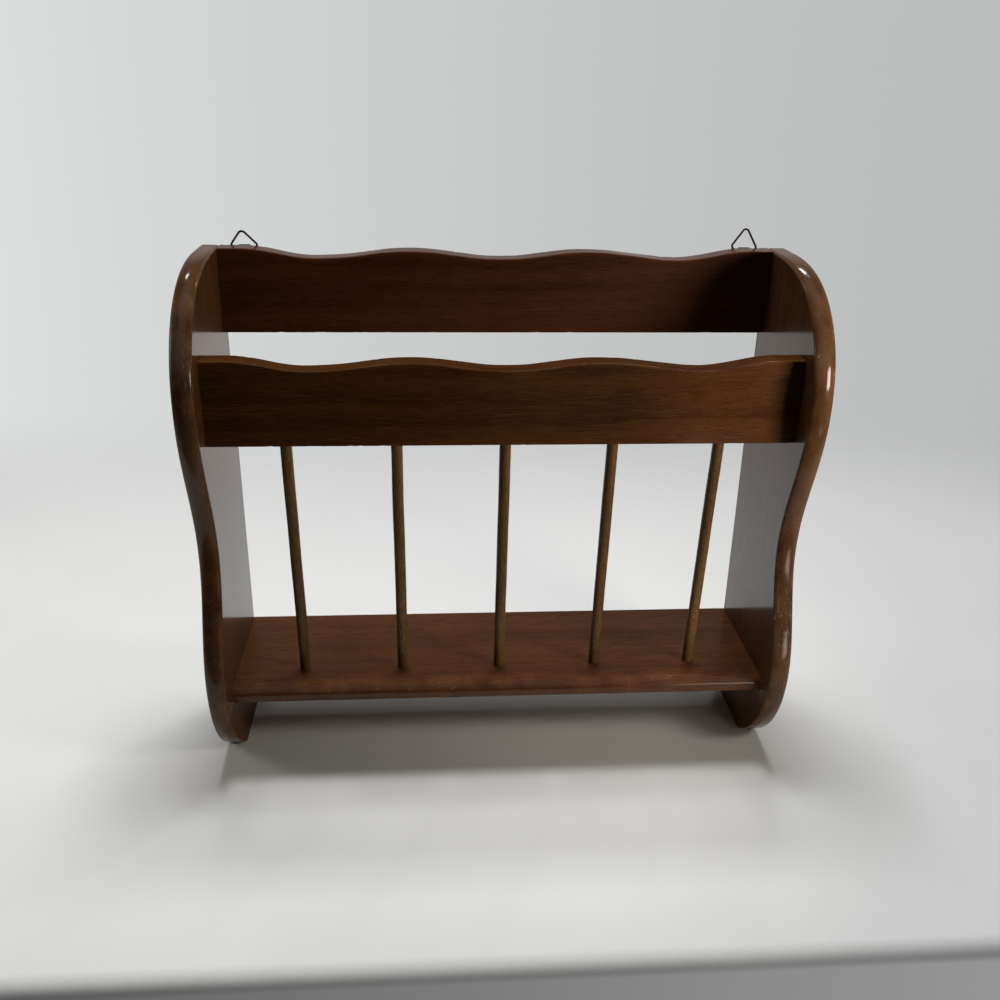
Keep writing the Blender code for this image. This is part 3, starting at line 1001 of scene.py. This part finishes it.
@dataclass
class WavedRails:
    """The two boards with waved top edges, made by one Geometry Nodes tree."""

    sizes: RackSizes
    wave_depth: float = 5.4 * MM
    end_inset: float = 69.0 * MM
    end_flat: float = 15.0 * MM
    end_rise: float = 1.2 * MM
    arris: float = 1.0 * MM
    joint_gap: float = 0.1 * MM
    worn_width: float = 2.2 * MM
    unevenness: float = 0.45 * MM
    uneven_ends: Pair = (0.15, 0.17)
    dent_depth: float = 0.35 * MM
    path_points: int = 241
    arris_points: int = 4
    face_cuts: int = 3
    tree: GeometryTree = field(init=False)

    def __post_init__(self) -> None:
        """Builds the tree: a rounded section swept along X, with its top lowered by the wave."""
        tree = GeometryTree("waved_rail")
        names = ("Length", "Thickness", "Height", "Arris", "Wave depth", "Wave pitch", "End run", "End rise")
        length, thick, height, arris, depth, pitch, run, lift = tree.ask_all(*names)
        centre = tree.ask("Centre", "NodeSocketVector")
        ends = [tree.joined(length * share, 0, 0) for share in (-0.5, 0.5)]
        path = tree.line(*ends, self.path_points)
        box = {"Width": thick, "Height": height}
        section = tree.value("GeometryNodeCurvePrimitiveQuadrilateral", "Curve", {}, box)
        cuts = {"Curve": tree.rounded(section, self.arris_points, arris), "Cuts": self.face_cuts}
        section = tree.value("GeometryNodeSubdivideCurve", "Curve", {}, cuts)
        rail = tree.swept(path, section, capped=True)
        here = tree.value("GeometryNodeInputPosition", "Position")
        x, y, z = tree.axes(here)
        to_face = thick * 0.5 - abs(y)
        to_top = height * 0.5 - abs(z)
        near = 1 - ((to_face * to_face + to_top * to_top) ** 0.5) / self.worn_width
        mark = {"Geometry": rail, "Name": "wear", "Value": near}
        settings = {"data_type": "FLOAT", "domain": "POINT"}
        rail = tree.value("GeometryNodeStoreNamedAttribute", "Geometry", settings, mark)
        across = abs(x)
        inner_wave = lift + depth * 0.5 * (1 + (across / pitch * (2 * math.pi)).cosine())
        end_share = ((across - pitch) / run).within()
        end_wave = (depth + lift) * 0.5 * (1 + (end_share * math.pi).cosine())
        inside = across.below(pitch)
        drop = inner_wave * inside + end_wave * (1 - inside)
        upper = 1 - z.below(0.0)
        fading, ended = self.uneven_ends
        hand = tree.speckle(here, 26.0, 1.0).rise(0.3, 0.75) * self.unevenness * across.rise(ended, fading)
        dents = tree.speckle(here, 190.0, 2.0).rise(0.56, 0.74) * near.within() * self.dent_depth
        sink = upper * (drop + hand) + dents * (upper * 2 - 1)
        shift = tree.joined(0, dents * (y.below(0.0) * 2 - 1), sink * -1)
        tree.close(tree.moved(rail, tree.vector("ADD", shift, centre)))
        self.tree = tree

    def build(self, node: str, name: str, slot: str, wood: Material) -> None:
        """Makes one rail where its CAD node lies.

        Args:
            node: The CAD node that it stands for.
            name: The name of the piece.
            slot: The record's material slot; not used.
            wood: Its finish.
        """
        low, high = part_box(node)
        inputs = {
            "Length": 2 * (self.sizes.inner - self.joint_gap),
            "Thickness": high.y - low.y,
            "Height": high.z - low.z,
            "Centre": (low + high) / 2,
            "Arris": self.arris,
            "Wave depth": self.wave_depth,
            "Wave pitch": self.sizes.inner - self.end_inset,
            "End run": self.end_inset - self.end_flat,
            "End rise": self.end_rise,
            "Material": wood,
        }
        piece = self.tree.make(name, inputs)
        settle_normals(piece)
        seat(piece, RACK_BODY, [node])


@dataclass
class Shelf:
    """The bottom board with its round nose and chipped front arris."""

    sizes: RackSizes
    wood: Material
    nose: float = 5.6 * MM
    eased: float = 0.5 * MM
    worn_run: float = 12.0 * MM
    joint_gap: float = 0.1 * MM
    step: float = 1.6 * MM
    nose_steps: int = 14
    ease_steps: int = 3
    chip_depth: float = 0.45 * MM
    dents: Dents = Dents(150.0, 480.0, 0.7, 0.2)
    worn_below: float = 0.8
    unchipped: float = 0.3
    name: str = "round_nosed_shelf"

    def _section(self) -> list[Triple]:
        """The shelf's section, from the back round over the nose.

        Returns:
            The section's points, as (reach, height, wear). On the nose the wear is partly painted light,
            lightening the front-facing nose.
        """
        low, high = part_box("bottom_shelf")
        reach = self.sizes.back - low.y
        half = (high.z - low.z) / 2
        middle = (high.z + low.z) / 2
        radius = bow_radius(half, self.nose)
        knee = half - self.eased
        edge = reach - self.nose
        last = (reach - radius + math.sqrt(radius**2 - knee**2), knee)
        corner = (edge - self.eased, half), (edge, half), last
        arris = [bend(*corner, k / self.ease_steps) for k in range(self.ease_steps + 1)]
        section = [(0.0, middle + half, 0.0), (edge - self.worn_run, middle + half, 0.0)]
        section += [(r, middle + h, 1.0) for r, h in arris]
        # The nose's wear is set high: partly rubbing, and partly painted light that lightens the
        # front-facing nose where front light falls
        for k in range(1, self.nose_steps):
            up = knee * (1 - 2 * k / self.nose_steps)
            sunk = radius - math.sqrt(radius**2 - up**2)
            section.append((reach - sunk, middle + up, 0.55 + 0.25 * abs(up / knee) ** 3))
        section += [(r, middle - h, self.worn_below) for r, h in reversed(arris)]
        section += [(edge - self.worn_run, middle - half, 0.0), (0.0, middle - half, 0.0)]
        return section

    def build(self) -> None:
        """Sweeps the section across and dents its arrises."""
        shape = bmesh.new()
        wear_layer = shape.verts.layers.float.new("wear")
        half = self.sizes.inner - self.joint_gap
        steps = round(2 * half / self.step)
        section = self._section()
        middle = sum(height for _, height, _ in section) / len(section)
        rows = []
        for i in range(steps + 1):
            x = -half + 2 * half * i / steps
            row = []
            for reach, height, wear in section:
                spot = self.sizes.at(x, reach, height)
                chip = self.chip_depth * max(0.0, wear - self.unchipped) * self.dents.at(spot)
                spot.y += chip
                spot.z -= math.copysign(chip, height - middle)
                vertex = shape.verts.new(spot)
                vertex[wear_layer] = wear
                row.append(vertex)
            rows.append(row)
        skin(shape, [row + row[:1] for row in rows])
        shape.faces.new(rows[0])
        shape.faces.new(reversed(rows[-1]))
        bmesh.ops.recalc_face_normals(shape, faces=shape.faces)
        piece = mesh_piece(shape, self.name, self.wood)
        settle_normals(piece)
        seat(piece, RACK_BODY, ["bottom_shelf"])


@dataclass
class SpindleRow:
    """The leaning sticks between the shelf and the front rail."""

    wood: Material
    diameter: float = 8.0 * MM
    foot_setback: float = 27.4 * MM
    sunk: float = 2.0 * MM
    wobble: float = 0.7 * MM
    path_points: int = 90
    sides: int = 32
    name: str = "spindle_row"

    def _tree(self) -> GeometryTree:
        """Builds the tree: one stick swept from foot to head, set out in a row and made uneven.

        Returns:
            The finished tree.
        """
        tree = GeometryTree("spindle_row")
        foot, head = tree.ask_all("Foot", "Head", kind="NodeSocketVector")
        ring = tree.circle(self.sides, tree.ask("Radius"))
        stick = tree.swept(tree.line(foot, head, self.path_points), ring, capped=True)
        sticks = tree.realized(tree.repeated(stick))
        here = tree.value("GeometryNodeInputPosition", "Position")
        wobble = tree.vector("SUBTRACT", tree.sway(here, 22.0), (0.5, 0.5, 0.5))
        wobble = tree.vector("MULTIPLY", wobble, (self.wobble, self.wobble, 0.0))
        tree.close(tree.moved(sticks, wobble))
        return tree

    def build(self) -> None:
        """Makes the sticks where the CAD nodes stand."""
        nodes = sorted(name for name in frame["nodes"] if name.startswith("spindle_"))
        centres = [sum(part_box(node), Vector()) / 2 for node in nodes]
        pitch = (centres[-1].x - centres[0].x) / (len(nodes) - 1)
        shelf_low, shelf_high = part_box("bottom_shelf")
        rail_low, rail_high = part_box("front_rail")
        foot = Vector((0, shelf_low.y + self.foot_setback, shelf_high.z))
        head = Vector((0, (rail_low.y + rail_high.y) / 2, rail_low.z))
        along = (head - foot).normalized()
        inputs = {
            "Count": len(nodes),
            "First": (centres[0].x, 0, 0),
            "Pitch": (pitch, 0, 0),
            "Foot": foot - along * self.sunk,
            "Head": head + along * self.sunk,
            "Radius": self.diameter / 2,
            "Material": self.wood,
        }
        piece = self._tree().make(self.name, inputs)
        piece.data.set_sharp_from_angle(angle=math.radians(50))
        seat(piece, RACK_BODY, nodes)


@dataclass
class WireHangers:
    """The wire triangles, with the straps and screws that hold them on the back rail.

    A wire triangle's lean is positive backwards. Angles are in radians.
    """

    sizes: RackSizes
    wire_steel: Material
    strap_steel: Material
    screw_steel: Material
    wire: float = 1.5 * MM
    wire_sides: int = 16
    ring_height: float = 15.15 * MM
    ring_half_angle: float = math.radians(32.8)
    ring_corner: float = 2.4 * MM
    ring_corner_points: int = 10
    left_lean: float = math.radians(-34.5)
    right_lean: float = math.radians(10.5)
    right_turn: float = math.radians(4.5)
    strap_gap: float = 0.3 * MM
    strap_width: float = 8.0 * MM
    strap_thick: float = 0.8 * MM
    strap_tail: float = 5.0 * MM
    strap_eased: float = 0.15 * MM
    tail_rounding: float = 0.8
    tail_steps: int = 12
    bore: float = 2.5 * MM
    roll_end: float = math.radians(-110)
    roll_steps: int = 30
    screw_drop: float = 8.0 * MM
    hole: float = 3.1 * MM
    hole_steps: int = 24
    shank_gap: float = 0.3 * MM
    shank_length: float = 2.0 * MM
    head_diameter: float = 5.0 * MM
    head_height: float = 1.4 * MM
    head_rim: float = 0.4 * MM
    head_foot: float = 0.96
    head_foot_rise: float = 0.12 * MM
    head_gap: float = 0.02 * MM
    head_steps: int = 10
    head_sides: int = 40
    slot_width: float = 0.7 * MM
    slot_depth: float = 0.6 * MM
    slot_overrun: float = 1.4
    slot_turn: float = 0.5
    slot_turn_step: float = 1.1

    def pivot(self, side: Side) -> Vector:
        """Where this side's wire turns, as the frame's joint says."""
        joint = next(j for j in frame["joints"] if j["child"] == f"{side.word}_ring")
        return Vector(joint["pos_m"])

    def build_rings(self) -> None:
        """Sweeps the wire round a triangle with rounded corners, and stands it as it leans."""
        tree = GeometryTree("wire_triangle")
        half, tip, corner, radius = tree.ask_all("Half width", "Height", "Corner", "Wire radius")
        # A circle of three points spans 1.5 by the root of 3; the scale makes it the wanted triangle
        spread = tree.joined(tip / 1.5, half / (math.sqrt(3) / 2), 1)
        centred = tree.joined(tip / 3, 0, 0)
        place = {"Geometry": tree.circle(3, 1.0), "Scale": spread, "Translation": centred}
        path = tree.value("GeometryNodeTransform", "Geometry", {}, place)
        path = tree.rounded(path, self.ring_corner_points, corner)
        tree.close(tree.swept(path, tree.circle(self.wire_sides, radius), capped=False))
        tip_height = self.ring_height + self.ring_corner * (1 / math.sin(self.ring_half_angle) - 1)
        inputs = {
            "Half width": tip_height * math.tan(self.ring_half_angle),
            "Height": tip_height,
            "Corner": self.ring_corner,
            "Wire radius": self.wire / 2,
            "Material": self.wire_steel,
        }
        upright = Matrix(((0, 1, 0), (0, 0, 1), (1, 0, 0))).to_4x4()
        poses = ((Side.LEFT, self.left_lean, 0.0), (Side.RIGHT, self.right_lean, self.right_turn))
        for side, lean, turn in poses:
            piece = tree.make(f"{side.word}_wire_triangle", inputs)
            stand = Euler((-lean, turn, 0), "YXZ").to_matrix().to_4x4()
            piece.data.transform(Matrix.Translation(self.pivot(side)) @ stand @ upright)
            seat(piece, f"{side.word}_ring", [f"hanger_ring_{side.word}"])

    def build_straps(self) -> None:
        """Rolls a strip of sheet steel with a round tail and a screw hole."""
        middle = (self.bore + self.strap_thick) / 2
        half = self.strap_width / 2
        roll = arc(middle, math.pi, self.roll_end, self.roll_steps)
        for side in Side:
            shape = bmesh.new()
            self._add_tail(shape, -middle)
            skin(shape, [[shape.verts.new((x, y, z)) for x in (-half, half)] for y, z in roll])
            bmesh.ops.remove_doubles(shape, verts=shape.verts, dist=0.01 * MM)
            bmesh.ops.recalc_face_normals(shape, faces=shape.faces)
            piece = mesh_piece(shape, f"{side.word}_hanger_strap", self.strap_steel)
            piece.data.transform(Matrix.Translation(self.pivot(side)))
            sheet = piece.modifiers.new("sheet", "SOLIDIFY")
            sheet.thickness = self.strap_thick
            sheet.offset = 0.0
            sheet.use_even_offset = True
            eased = piece.modifiers.new("eased", "BEVEL")
            eased.width = self.strap_eased
            eased.segments = 2
            eased.limit_method = "ANGLE"
            apply_modifiers(piece)
            piece.data.shade_smooth()
            piece.data.set_sharp_from_angle(angle=math.radians(40))
            seat(piece, RACK_BODY, [f"hanger_strap_{side.word}"])

    def _add_tail(self, shape: BMesh, y: float) -> None:
        """Adds the flat of the strap: a tongue with a round end, with its screw hole left open.

        Args:
            shape: The strap's shape.
            y: Where the tongue's middle plane lies.
        """
        half = self.strap_width / 2
        low = -self.screw_drop - self.strap_tail
        corner = half * self.tail_rounding
        turn = arc(corner, 0.0, -math.pi / 2, self.tail_steps)
        outer = [(half, 0.0)] + [(half - corner + x, low + corner + z) for x, z in turn]
        outer += [(-x, z) for x, z in reversed(outer)]
        ring = arc(self.hole / 2, 0.0, 2 * math.pi, self.hole_steps)[:-1]
        inner = [(x, z - self.screw_drop) for x, z in ring]
        edges = []
        for loop in (outer, inner):
            spots = [shape.verts.new((x, y, z)) for x, z in loop]
            edges += [shape.edges.new((a, b)) for a, b in zip(spots, spots[1:] + spots[:1])]
        bmesh.ops.triangle_fill(shape, use_beauty=True, use_dissolve=False, edges=edges)

    def _screw_template(self) -> Object:
        """Turns a round screw head, seated at the origin and facing +Y, and cuts its slot.

        Returns:
            The screw, with a mark on the floor of its slot, where the material turns darker.
        """
        head = self.head_diameter / 2
        rise = self.head_height - self.head_rim
        shank = self.hole / 2 - self.shank_gap
        profile = [(0.0, -self.shank_length), (shank, -self.shank_length), (shank, 0.0)]
        profile += [(head * self.head_foot, 0.0), (head, self.head_foot_rise)]
        dome = arc(1.0, 0.0, math.pi / 2, self.head_steps)[:-1]
        profile += [(head * out, self.head_rim + rise * up) for out, up in dome]
        profile.append((0.0, self.head_height))
        shape = bmesh.new()
        spots = [shape.verts.new((radius, along, 0.0)) for radius, along in profile]
        edges = [shape.edges.new(pair) for pair in zip(spots, spots[1:])]
        turn = {"axis": (0, 1, 0), "cent": (0, 0, 0), "steps": self.head_sides, "angle": 2 * math.pi}
        bmesh.ops.spin(shape, geom=spots + edges, **turn)
        bmesh.ops.remove_doubles(shape, verts=shape.verts, dist=0.005 * MM)
        bmesh.ops.recalc_face_normals(shape, faces=shape.faces)
        template = mesh_piece(shape, "screw_template")
        block = bmesh.new()
        bmesh.ops.create_cube(block, size=1.0)
        cutter = mesh_piece(block, "screw_slot")
        size = (self.head_diameter * self.slot_overrun, 2 * self.slot_depth, self.slot_width)
        cutter.data.transform(Matrix.Translation((0, self.head_height, 0)) @ Matrix.Diagonal((*size, 1)))
        slot = template.modifiers.new("slot", "BOOLEAN")
        slot.operation = "DIFFERENCE"
        slot.solver = "EXACT"
        slot.object = cutter
        apply_modifiers(template)
        bpy.data.objects.remove(cutter, do_unlink=True)
        # Marks the floor of the slot, which the material makes darker
        floor = self.head_height - self.slot_depth
        grime = template.data.attributes.new("grime", "FLOAT", "POINT")
        for vertex, mark in zip(template.data.vertices, grime.data):
            on_floor = abs(vertex.co.y - floor) < 0.02 * MM
            mark.value = 1.0 if on_floor and abs(vertex.co.z) < self.slot_width else 0.0
        return template

    def build_screws(self) -> None:
        """Sets one screw through each strap, each with its slot turned another way."""
        template = self._screw_template()
        tree = GeometryTree("hanger_screws")
        asked = {"Object": tree.ask("Screw", "NodeSocketObject")}
        shape = tree.value("GeometryNodeObjectInfo", "Geometry", {}, asked)
        number = tree.value("GeometryNodeInputIndex", "Index")
        turned = tree.joined(0, self.slot_turn + number * self.slot_turn_step, 0)
        tree.close(tree.repeated(shape, turned))
        face = self.sizes.back + self.strap_gap + self.strap_thick + self.head_gap
        pivots = [self.pivot(side) for side in Side]
        ends = [Vector((pivot.x, face, pivot.z - self.screw_drop)) for pivot in pivots]
        inputs = {
            "Screw": template,
            "First": ends[0],
            "Pitch": ends[1] - ends[0],
            "Count": len(ends),
            "Material": self.screw_steel,
        }
        piece = tree.make("hanger_screws", inputs)
        bpy.data.objects.remove(template, do_unlink=True)
        piece.data.set_sharp_from_angle(angle=math.radians(35))
        seat(piece, RACK_BODY, [f"hanger_screw_{side.word}" for side in Side])

    def build(self) -> None:
        """Makes all the hangers' pieces."""
        self.build_rings()
        self.build_straps()
        self.build_screws()


@dataclass
class JointPins:
    """The hidden pins keep their CAD shape and get bare wood."""

    wood: Material

    def dress(self) -> None:
        """Gives every pin its finish."""
        pins = [node for name, node in frame["nodes"].items() if "_pin_" in name]
        for pin in pins:
            pin.data.materials.clear()
            pin.data.materials.append(self.wood)
        log.info("%d hidden pins keep their CAD shape", len(pins))


class Lamp(NamedTuple):
    """A soft lamp: its place, target, size, power, tint and spread, and whether gloss mirrors it."""

    name: str
    place: Triple
    target: Triple
    size: Pair
    power: float
    tint: Colour = (1.0, 1.0, 1.0)
    spread: float = math.pi
    mirrored: bool = True


@dataclass
class Studio:
    """Pale cloth-covered table, soft lamps, pale surroundings and the camera."""

    sizes: RackSizes
    lamps: tuple[Lamp, ...] = (
        Lamp("ceiling", (0.0, 0.35, 2.1), (0.0, 0.0, 0.0), (0.7, 0.7), 35.5, mirrored=False),
        Lamp("back_left", (-0.40, 0.51, 1.0), (0.0, -0.1, 0.0), (0.08, 0.08), 0.45),
        Lamp("back_right", (0.42, 0.66, 1.0), (0.0, -0.1, 0.0), (0.08, 0.08), 0.8),
        Lamp("left", (-0.95, 0.05, 0.45), (0.0, 0.0, 0.25), (0.3, 0.3), 1.5, (1.0, 0.95, 0.88)),
        Lamp("front_right", (0.38, -0.28, 0.35), (0.05, -0.02, 0.35), (0.12, 0.10), 0.78, WARM_LIGHT, 2.2),
        Lamp("low_right", (0.34, -0.33, 0.08), (0.17, -0.04, 0.11), (0.28, 0.10), 0.08, WARM_LIGHT, 1.0),
    )
    cloth: Colour = (0.79, 0.80, 0.795)
    cloth_front: float = -0.229
    cloth_back: float = 1.6
    cloth_half: float = 1.3
    weave: float = 0.1 * MM
    fold: float = 0.012
    fold_steps: int = 12
    drop: float = 0.5
    lens_pixels: float = 1011.3
    image_side: float = 1000.0
    sensor: float = 36.0
    pitch: float = math.radians(23.42)
    yaw: float = math.radians(4.28)
    roll: float = math.radians(-1.08)
    camera_x: float = -51.6 * MM
    camera_distance: float = 749.9 * MM
    camera_height: float = 503.0 * MM
    clip_start: float = 10 * MM

    def build_camera(self) -> None:
        """Sets the camera that the photograph was taken with."""
        level = Vector((math.cos(self.yaw), -math.sin(self.yaw), 0.0))
        ahead = math.cos(self.pitch)
        forward = Vector((math.sin(self.yaw) * ahead, math.cos(self.yaw) * ahead, -math.sin(self.pitch)))
        plumb = forward.cross(level)
        right = level * math.cos(self.roll) + plumb * math.sin(self.roll)
        down = plumb * math.cos(self.roll) - level * math.sin(self.roll)
        data = bpy.data.cameras.new("photo_camera")
        data.sensor_width = self.sensor
        data.lens = self.sensor * self.lens_pixels / self.image_side
        data.clip_start = self.clip_start
        camera = bpy.data.objects.new("photo_camera", data)
        columns = Matrix((right, -down, -forward)).transposed().to_4x4()
        place = self.sizes.at(self.camera_x, self.camera_distance, self.camera_height)
        camera.matrix_world = Matrix.Translation(place) @ columns
        bpy.context.scene.collection.objects.link(camera)
        bpy.context.scene.camera = camera

    def build_lamps(self) -> None:
        """Hangs the lamps."""
        for lamp in self.lamps:
            data = bpy.data.lights.new(lamp.name, "AREA")
            data.shape = "RECTANGLE"
            data.size, data.size_y = lamp.size
            data.energy = lamp.power
            data.color = lamp.tint
            data.spread = lamp.spread
            light = bpy.data.objects.new(lamp.name, data)
            light.location = lamp.place
            aim = Vector(lamp.target) - Vector(lamp.place)
            light.rotation_euler = aim.to_track_quat("-Z", "Y").to_euler()
            light.visible_camera = False
            light.visible_glossy = lamp.mirrored
            bpy.context.scene.collection.objects.link(light)

    def cloth_material(self) -> Material:
        """White cloth that fades into the surroundings at its far edges, with painted shade in soft folds.
        Its hanging front shows camera rays a painted glow, brighter to the right, in place of the light on
        it.

        Returns:
            The finished material.
        """
        tree = ShaderTree("table_cloth")
        place = tree.place()
        x, y, z = tree.axes(place)
        # Painted shade: soft patches of the cloth are 3 % darker, standing for the shade in its folds
        fold_shade = tree.strands(place, (3.0, 5.0, 5.0), 2.0)
        tone = tree.blend(fold_shade.rise(0.3, 0.75), tuple(c * 0.97 for c in self.cloth), self.cloth)
        sockets = {"Color": tone, "Normal": tree.bump(tree.speckle(place, 900.0, 2.0), self.weave)}
        sheet = tree.value("ShaderNodeBsdfDiffuse", "BSDF", {}, sockets)
        clear = tree.value("ShaderNodeBsdfTransparent", "BSDF")
        far = 1 - y.rise(0.85, 0.30) * abs(x).rise(1.1, 0.6)
        seen = tree.value("ShaderNodeLightPath", "Is Camera Ray")
        # Painted light: camera rays see the hanging front of the cloth glow, brighter to the right, in place
        # of the light that falls on it
        pale = tree.value("ShaderNodeEmission", "Emission", {}, {"Strength": 0.21 + x * 0.30})
        painted_glow_share = seen * z.rise(-0.002, -0.012)
        shader = tree.value("ShaderNodeMixShader", "Shader", {}, {0: painted_glow_share, 1: sheet, 2: pale})
        return tree.close(tree.value("ShaderNodeMixShader", "Shader", {}, {0: far, 1: shader, 2: clear}))

    def build_table(self) -> None:
        """Lays the cloth: flat under the rack, folded down over the table's front edge."""
        line = [(self.cloth_back, 0.0), (self.cloth_front, 0.0)]
        turn = arc(self.fold, 0.0, math.pi / 2, self.fold_steps)[1:]
        line += [(self.cloth_front - out, up - self.fold) for up, out in turn]
        line.append((self.cloth_front - self.fold, -self.drop))
        shape = bmesh.new()
        sides = (self.cloth_half, -self.cloth_half)
        skin(shape, [[shape.verts.new((x, y, z)) for x in sides] for y, z in line])
        mesh_piece(shape, "table_cloth", self.cloth_material())

    def build_surroundings(self) -> None:
        """Makes the surroundings pale behind the rack and, in its gloss, also above and in front."""
        world = bpy.data.worlds.new("surroundings")
        bpy.context.scene.world = world
        world.use_nodes = True
        world.node_tree.nodes.clear()
        tree = Tree(world.node_tree)
        x, y, z = tree.axes(tree.value("ShaderNodeTexCoord", "Generated"))
        behind = y.rise(-0.10, 0.35) * z.rise(0.62, 0.28)
        rays = tree.add("ShaderNodeLightPath")
        seen = tree.read(rays, "Is Camera Ray")
        mirrored = tree.read(rays, "Is Glossy Ray")
        backdrop = 0.60 - x * 0.28 + x * x * 0.2
        above = z.rise(0.80, 0.97) * 0.6
        front = y.rise(-0.20, -0.70) * z.rise(0.10, 0.50) * 0.45
        low = z.rise(0.15, -0.05) * y.rise(0.80, 0.96) * 0.42
        around = 0.01 + behind * 0.07 + mirrored * (behind * (0.28 + low) + above + front)
        level = seen * backdrop + (1 - seen) * around
        tint = tree.blend(mirrored, (0.985, 1.0, 1.0), (1.0, 0.94, 0.91))
        light = tree.value("ShaderNodeBackground", "Background", {}, {"Color": tint, "Strength": level})
        tree.add("ShaderNodeOutputWorld", {}, {"Surface": light})

    def build(self) -> None:
        """Sets up the whole studio."""
        bpy.context.scene.view_settings.view_transform = "Standard"
        self.build_camera()
        self.build_lamps()
        self.build_table()
        self.build_surroundings()


PANEL_WOOD = WoodFinish(
    "panel_stain",
    (0.040, 0.0140, 0.0050),
    (0.086, 0.035, 0.0125),
    (0.148, 0.068, 0.025),
    Grain.UPRIGHT,
    (0.0, 0.3, 0.7),
    streaks=0.65,
    unlacquered=58 * MM,
)
BACK_RAIL_WOOD = WoodFinish(
    "back_rail_stain",
    (0.030, 0.0076, 0.0028),
    (0.072, 0.0215, 0.0080),
    (0.105, 0.036, 0.013),
    Grain.ACROSS,
    (0.4, 1.1, 0.2),
    coat=0.7,
)
FRONT_RAIL_WOOD = WoodFinish(
    "front_rail_stain",
    (0.029, 0.0090, 0.0022),
    (0.078, 0.0285, 0.0070),
    (0.125, 0.054, 0.015),
    Grain.ACROSS,
    (0.9, 0.5, 0.6),
    coat=0.7,
)
SHELF_WOOD = WoodFinish(
    "shelf_stain",
    (0.042, 0.0140, 0.0050),
    (0.095, 0.034, 0.0120),
    (0.155, 0.062, 0.023),
    Grain.ACROSS,
    (1.6, 0.9, 1.3),
    coat_roughness=0.15,
    coat=0.9,
)
SPINDLE_WOOD = WoodFinish(
    "spindle_stain",
    (0.066, 0.031, 0.010),
    (0.150, 0.078, 0.025),
    (0.260, 0.150, 0.052),
    Grain.UPRIGHT,
    (0.2, 0.8, 0.4),
    coat_roughness=0.25,
    coat=0.35,
)
LEFT_SCUFFS = (
    ScuffMark(318 * MM, 26 * MM, 0.7),
    ScuffMark(262 * MM, 18 * MM, 0.3),
    ScuffMark(30 * MM, 30 * MM, 0.65),
)
RIGHT_SCUFFS = (
    ScuffMark(335 * MM, 20 * MM, 0.25),
    ScuffMark(135 * MM, 28 * MM, 0.7),
    ScuffMark(30 * MM, 30 * MM, 0.6),
)


def main() -> None:
    """Builds every piece of the rack and the studio round it."""
    logging.basicConfig(level=logging.INFO, format="%(name)s: %(message)s")
    sizes = RackSizes()
    panel_wood = PANEL_WOOD.material()
    for side, scuffs in ((Side.LEFT, LEFT_SCUFFS), (Side.RIGHT, RIGHT_SCUFFS)):
        SidePanel(sizes, side, panel_wood, scuffs).build()
    rails = WavedRails(sizes)
    rails.build("back_rail", "back_waved_rail", "back_rail_wood", BACK_RAIL_WOOD.material())
    rails.build("front_rail", "front_waved_rail", "front_rail_wood", FRONT_RAIL_WOOD.material())
    Shelf(sizes, SHELF_WOOD.material()).build()
    SpindleRow(SPINDLE_WOOD.material()).build()
    steels = (BlackSteel("black_wire_steel"), BlackSteel("black_strap_steel", roughness=0.58), ScrewSteel())
    WireHangers(sizes, *(steel.material() for steel in steels)).build()
    JointPins(BareWood().material()).dress()
    Studio(sizes).build()


if __name__ == "__main__":
    main()
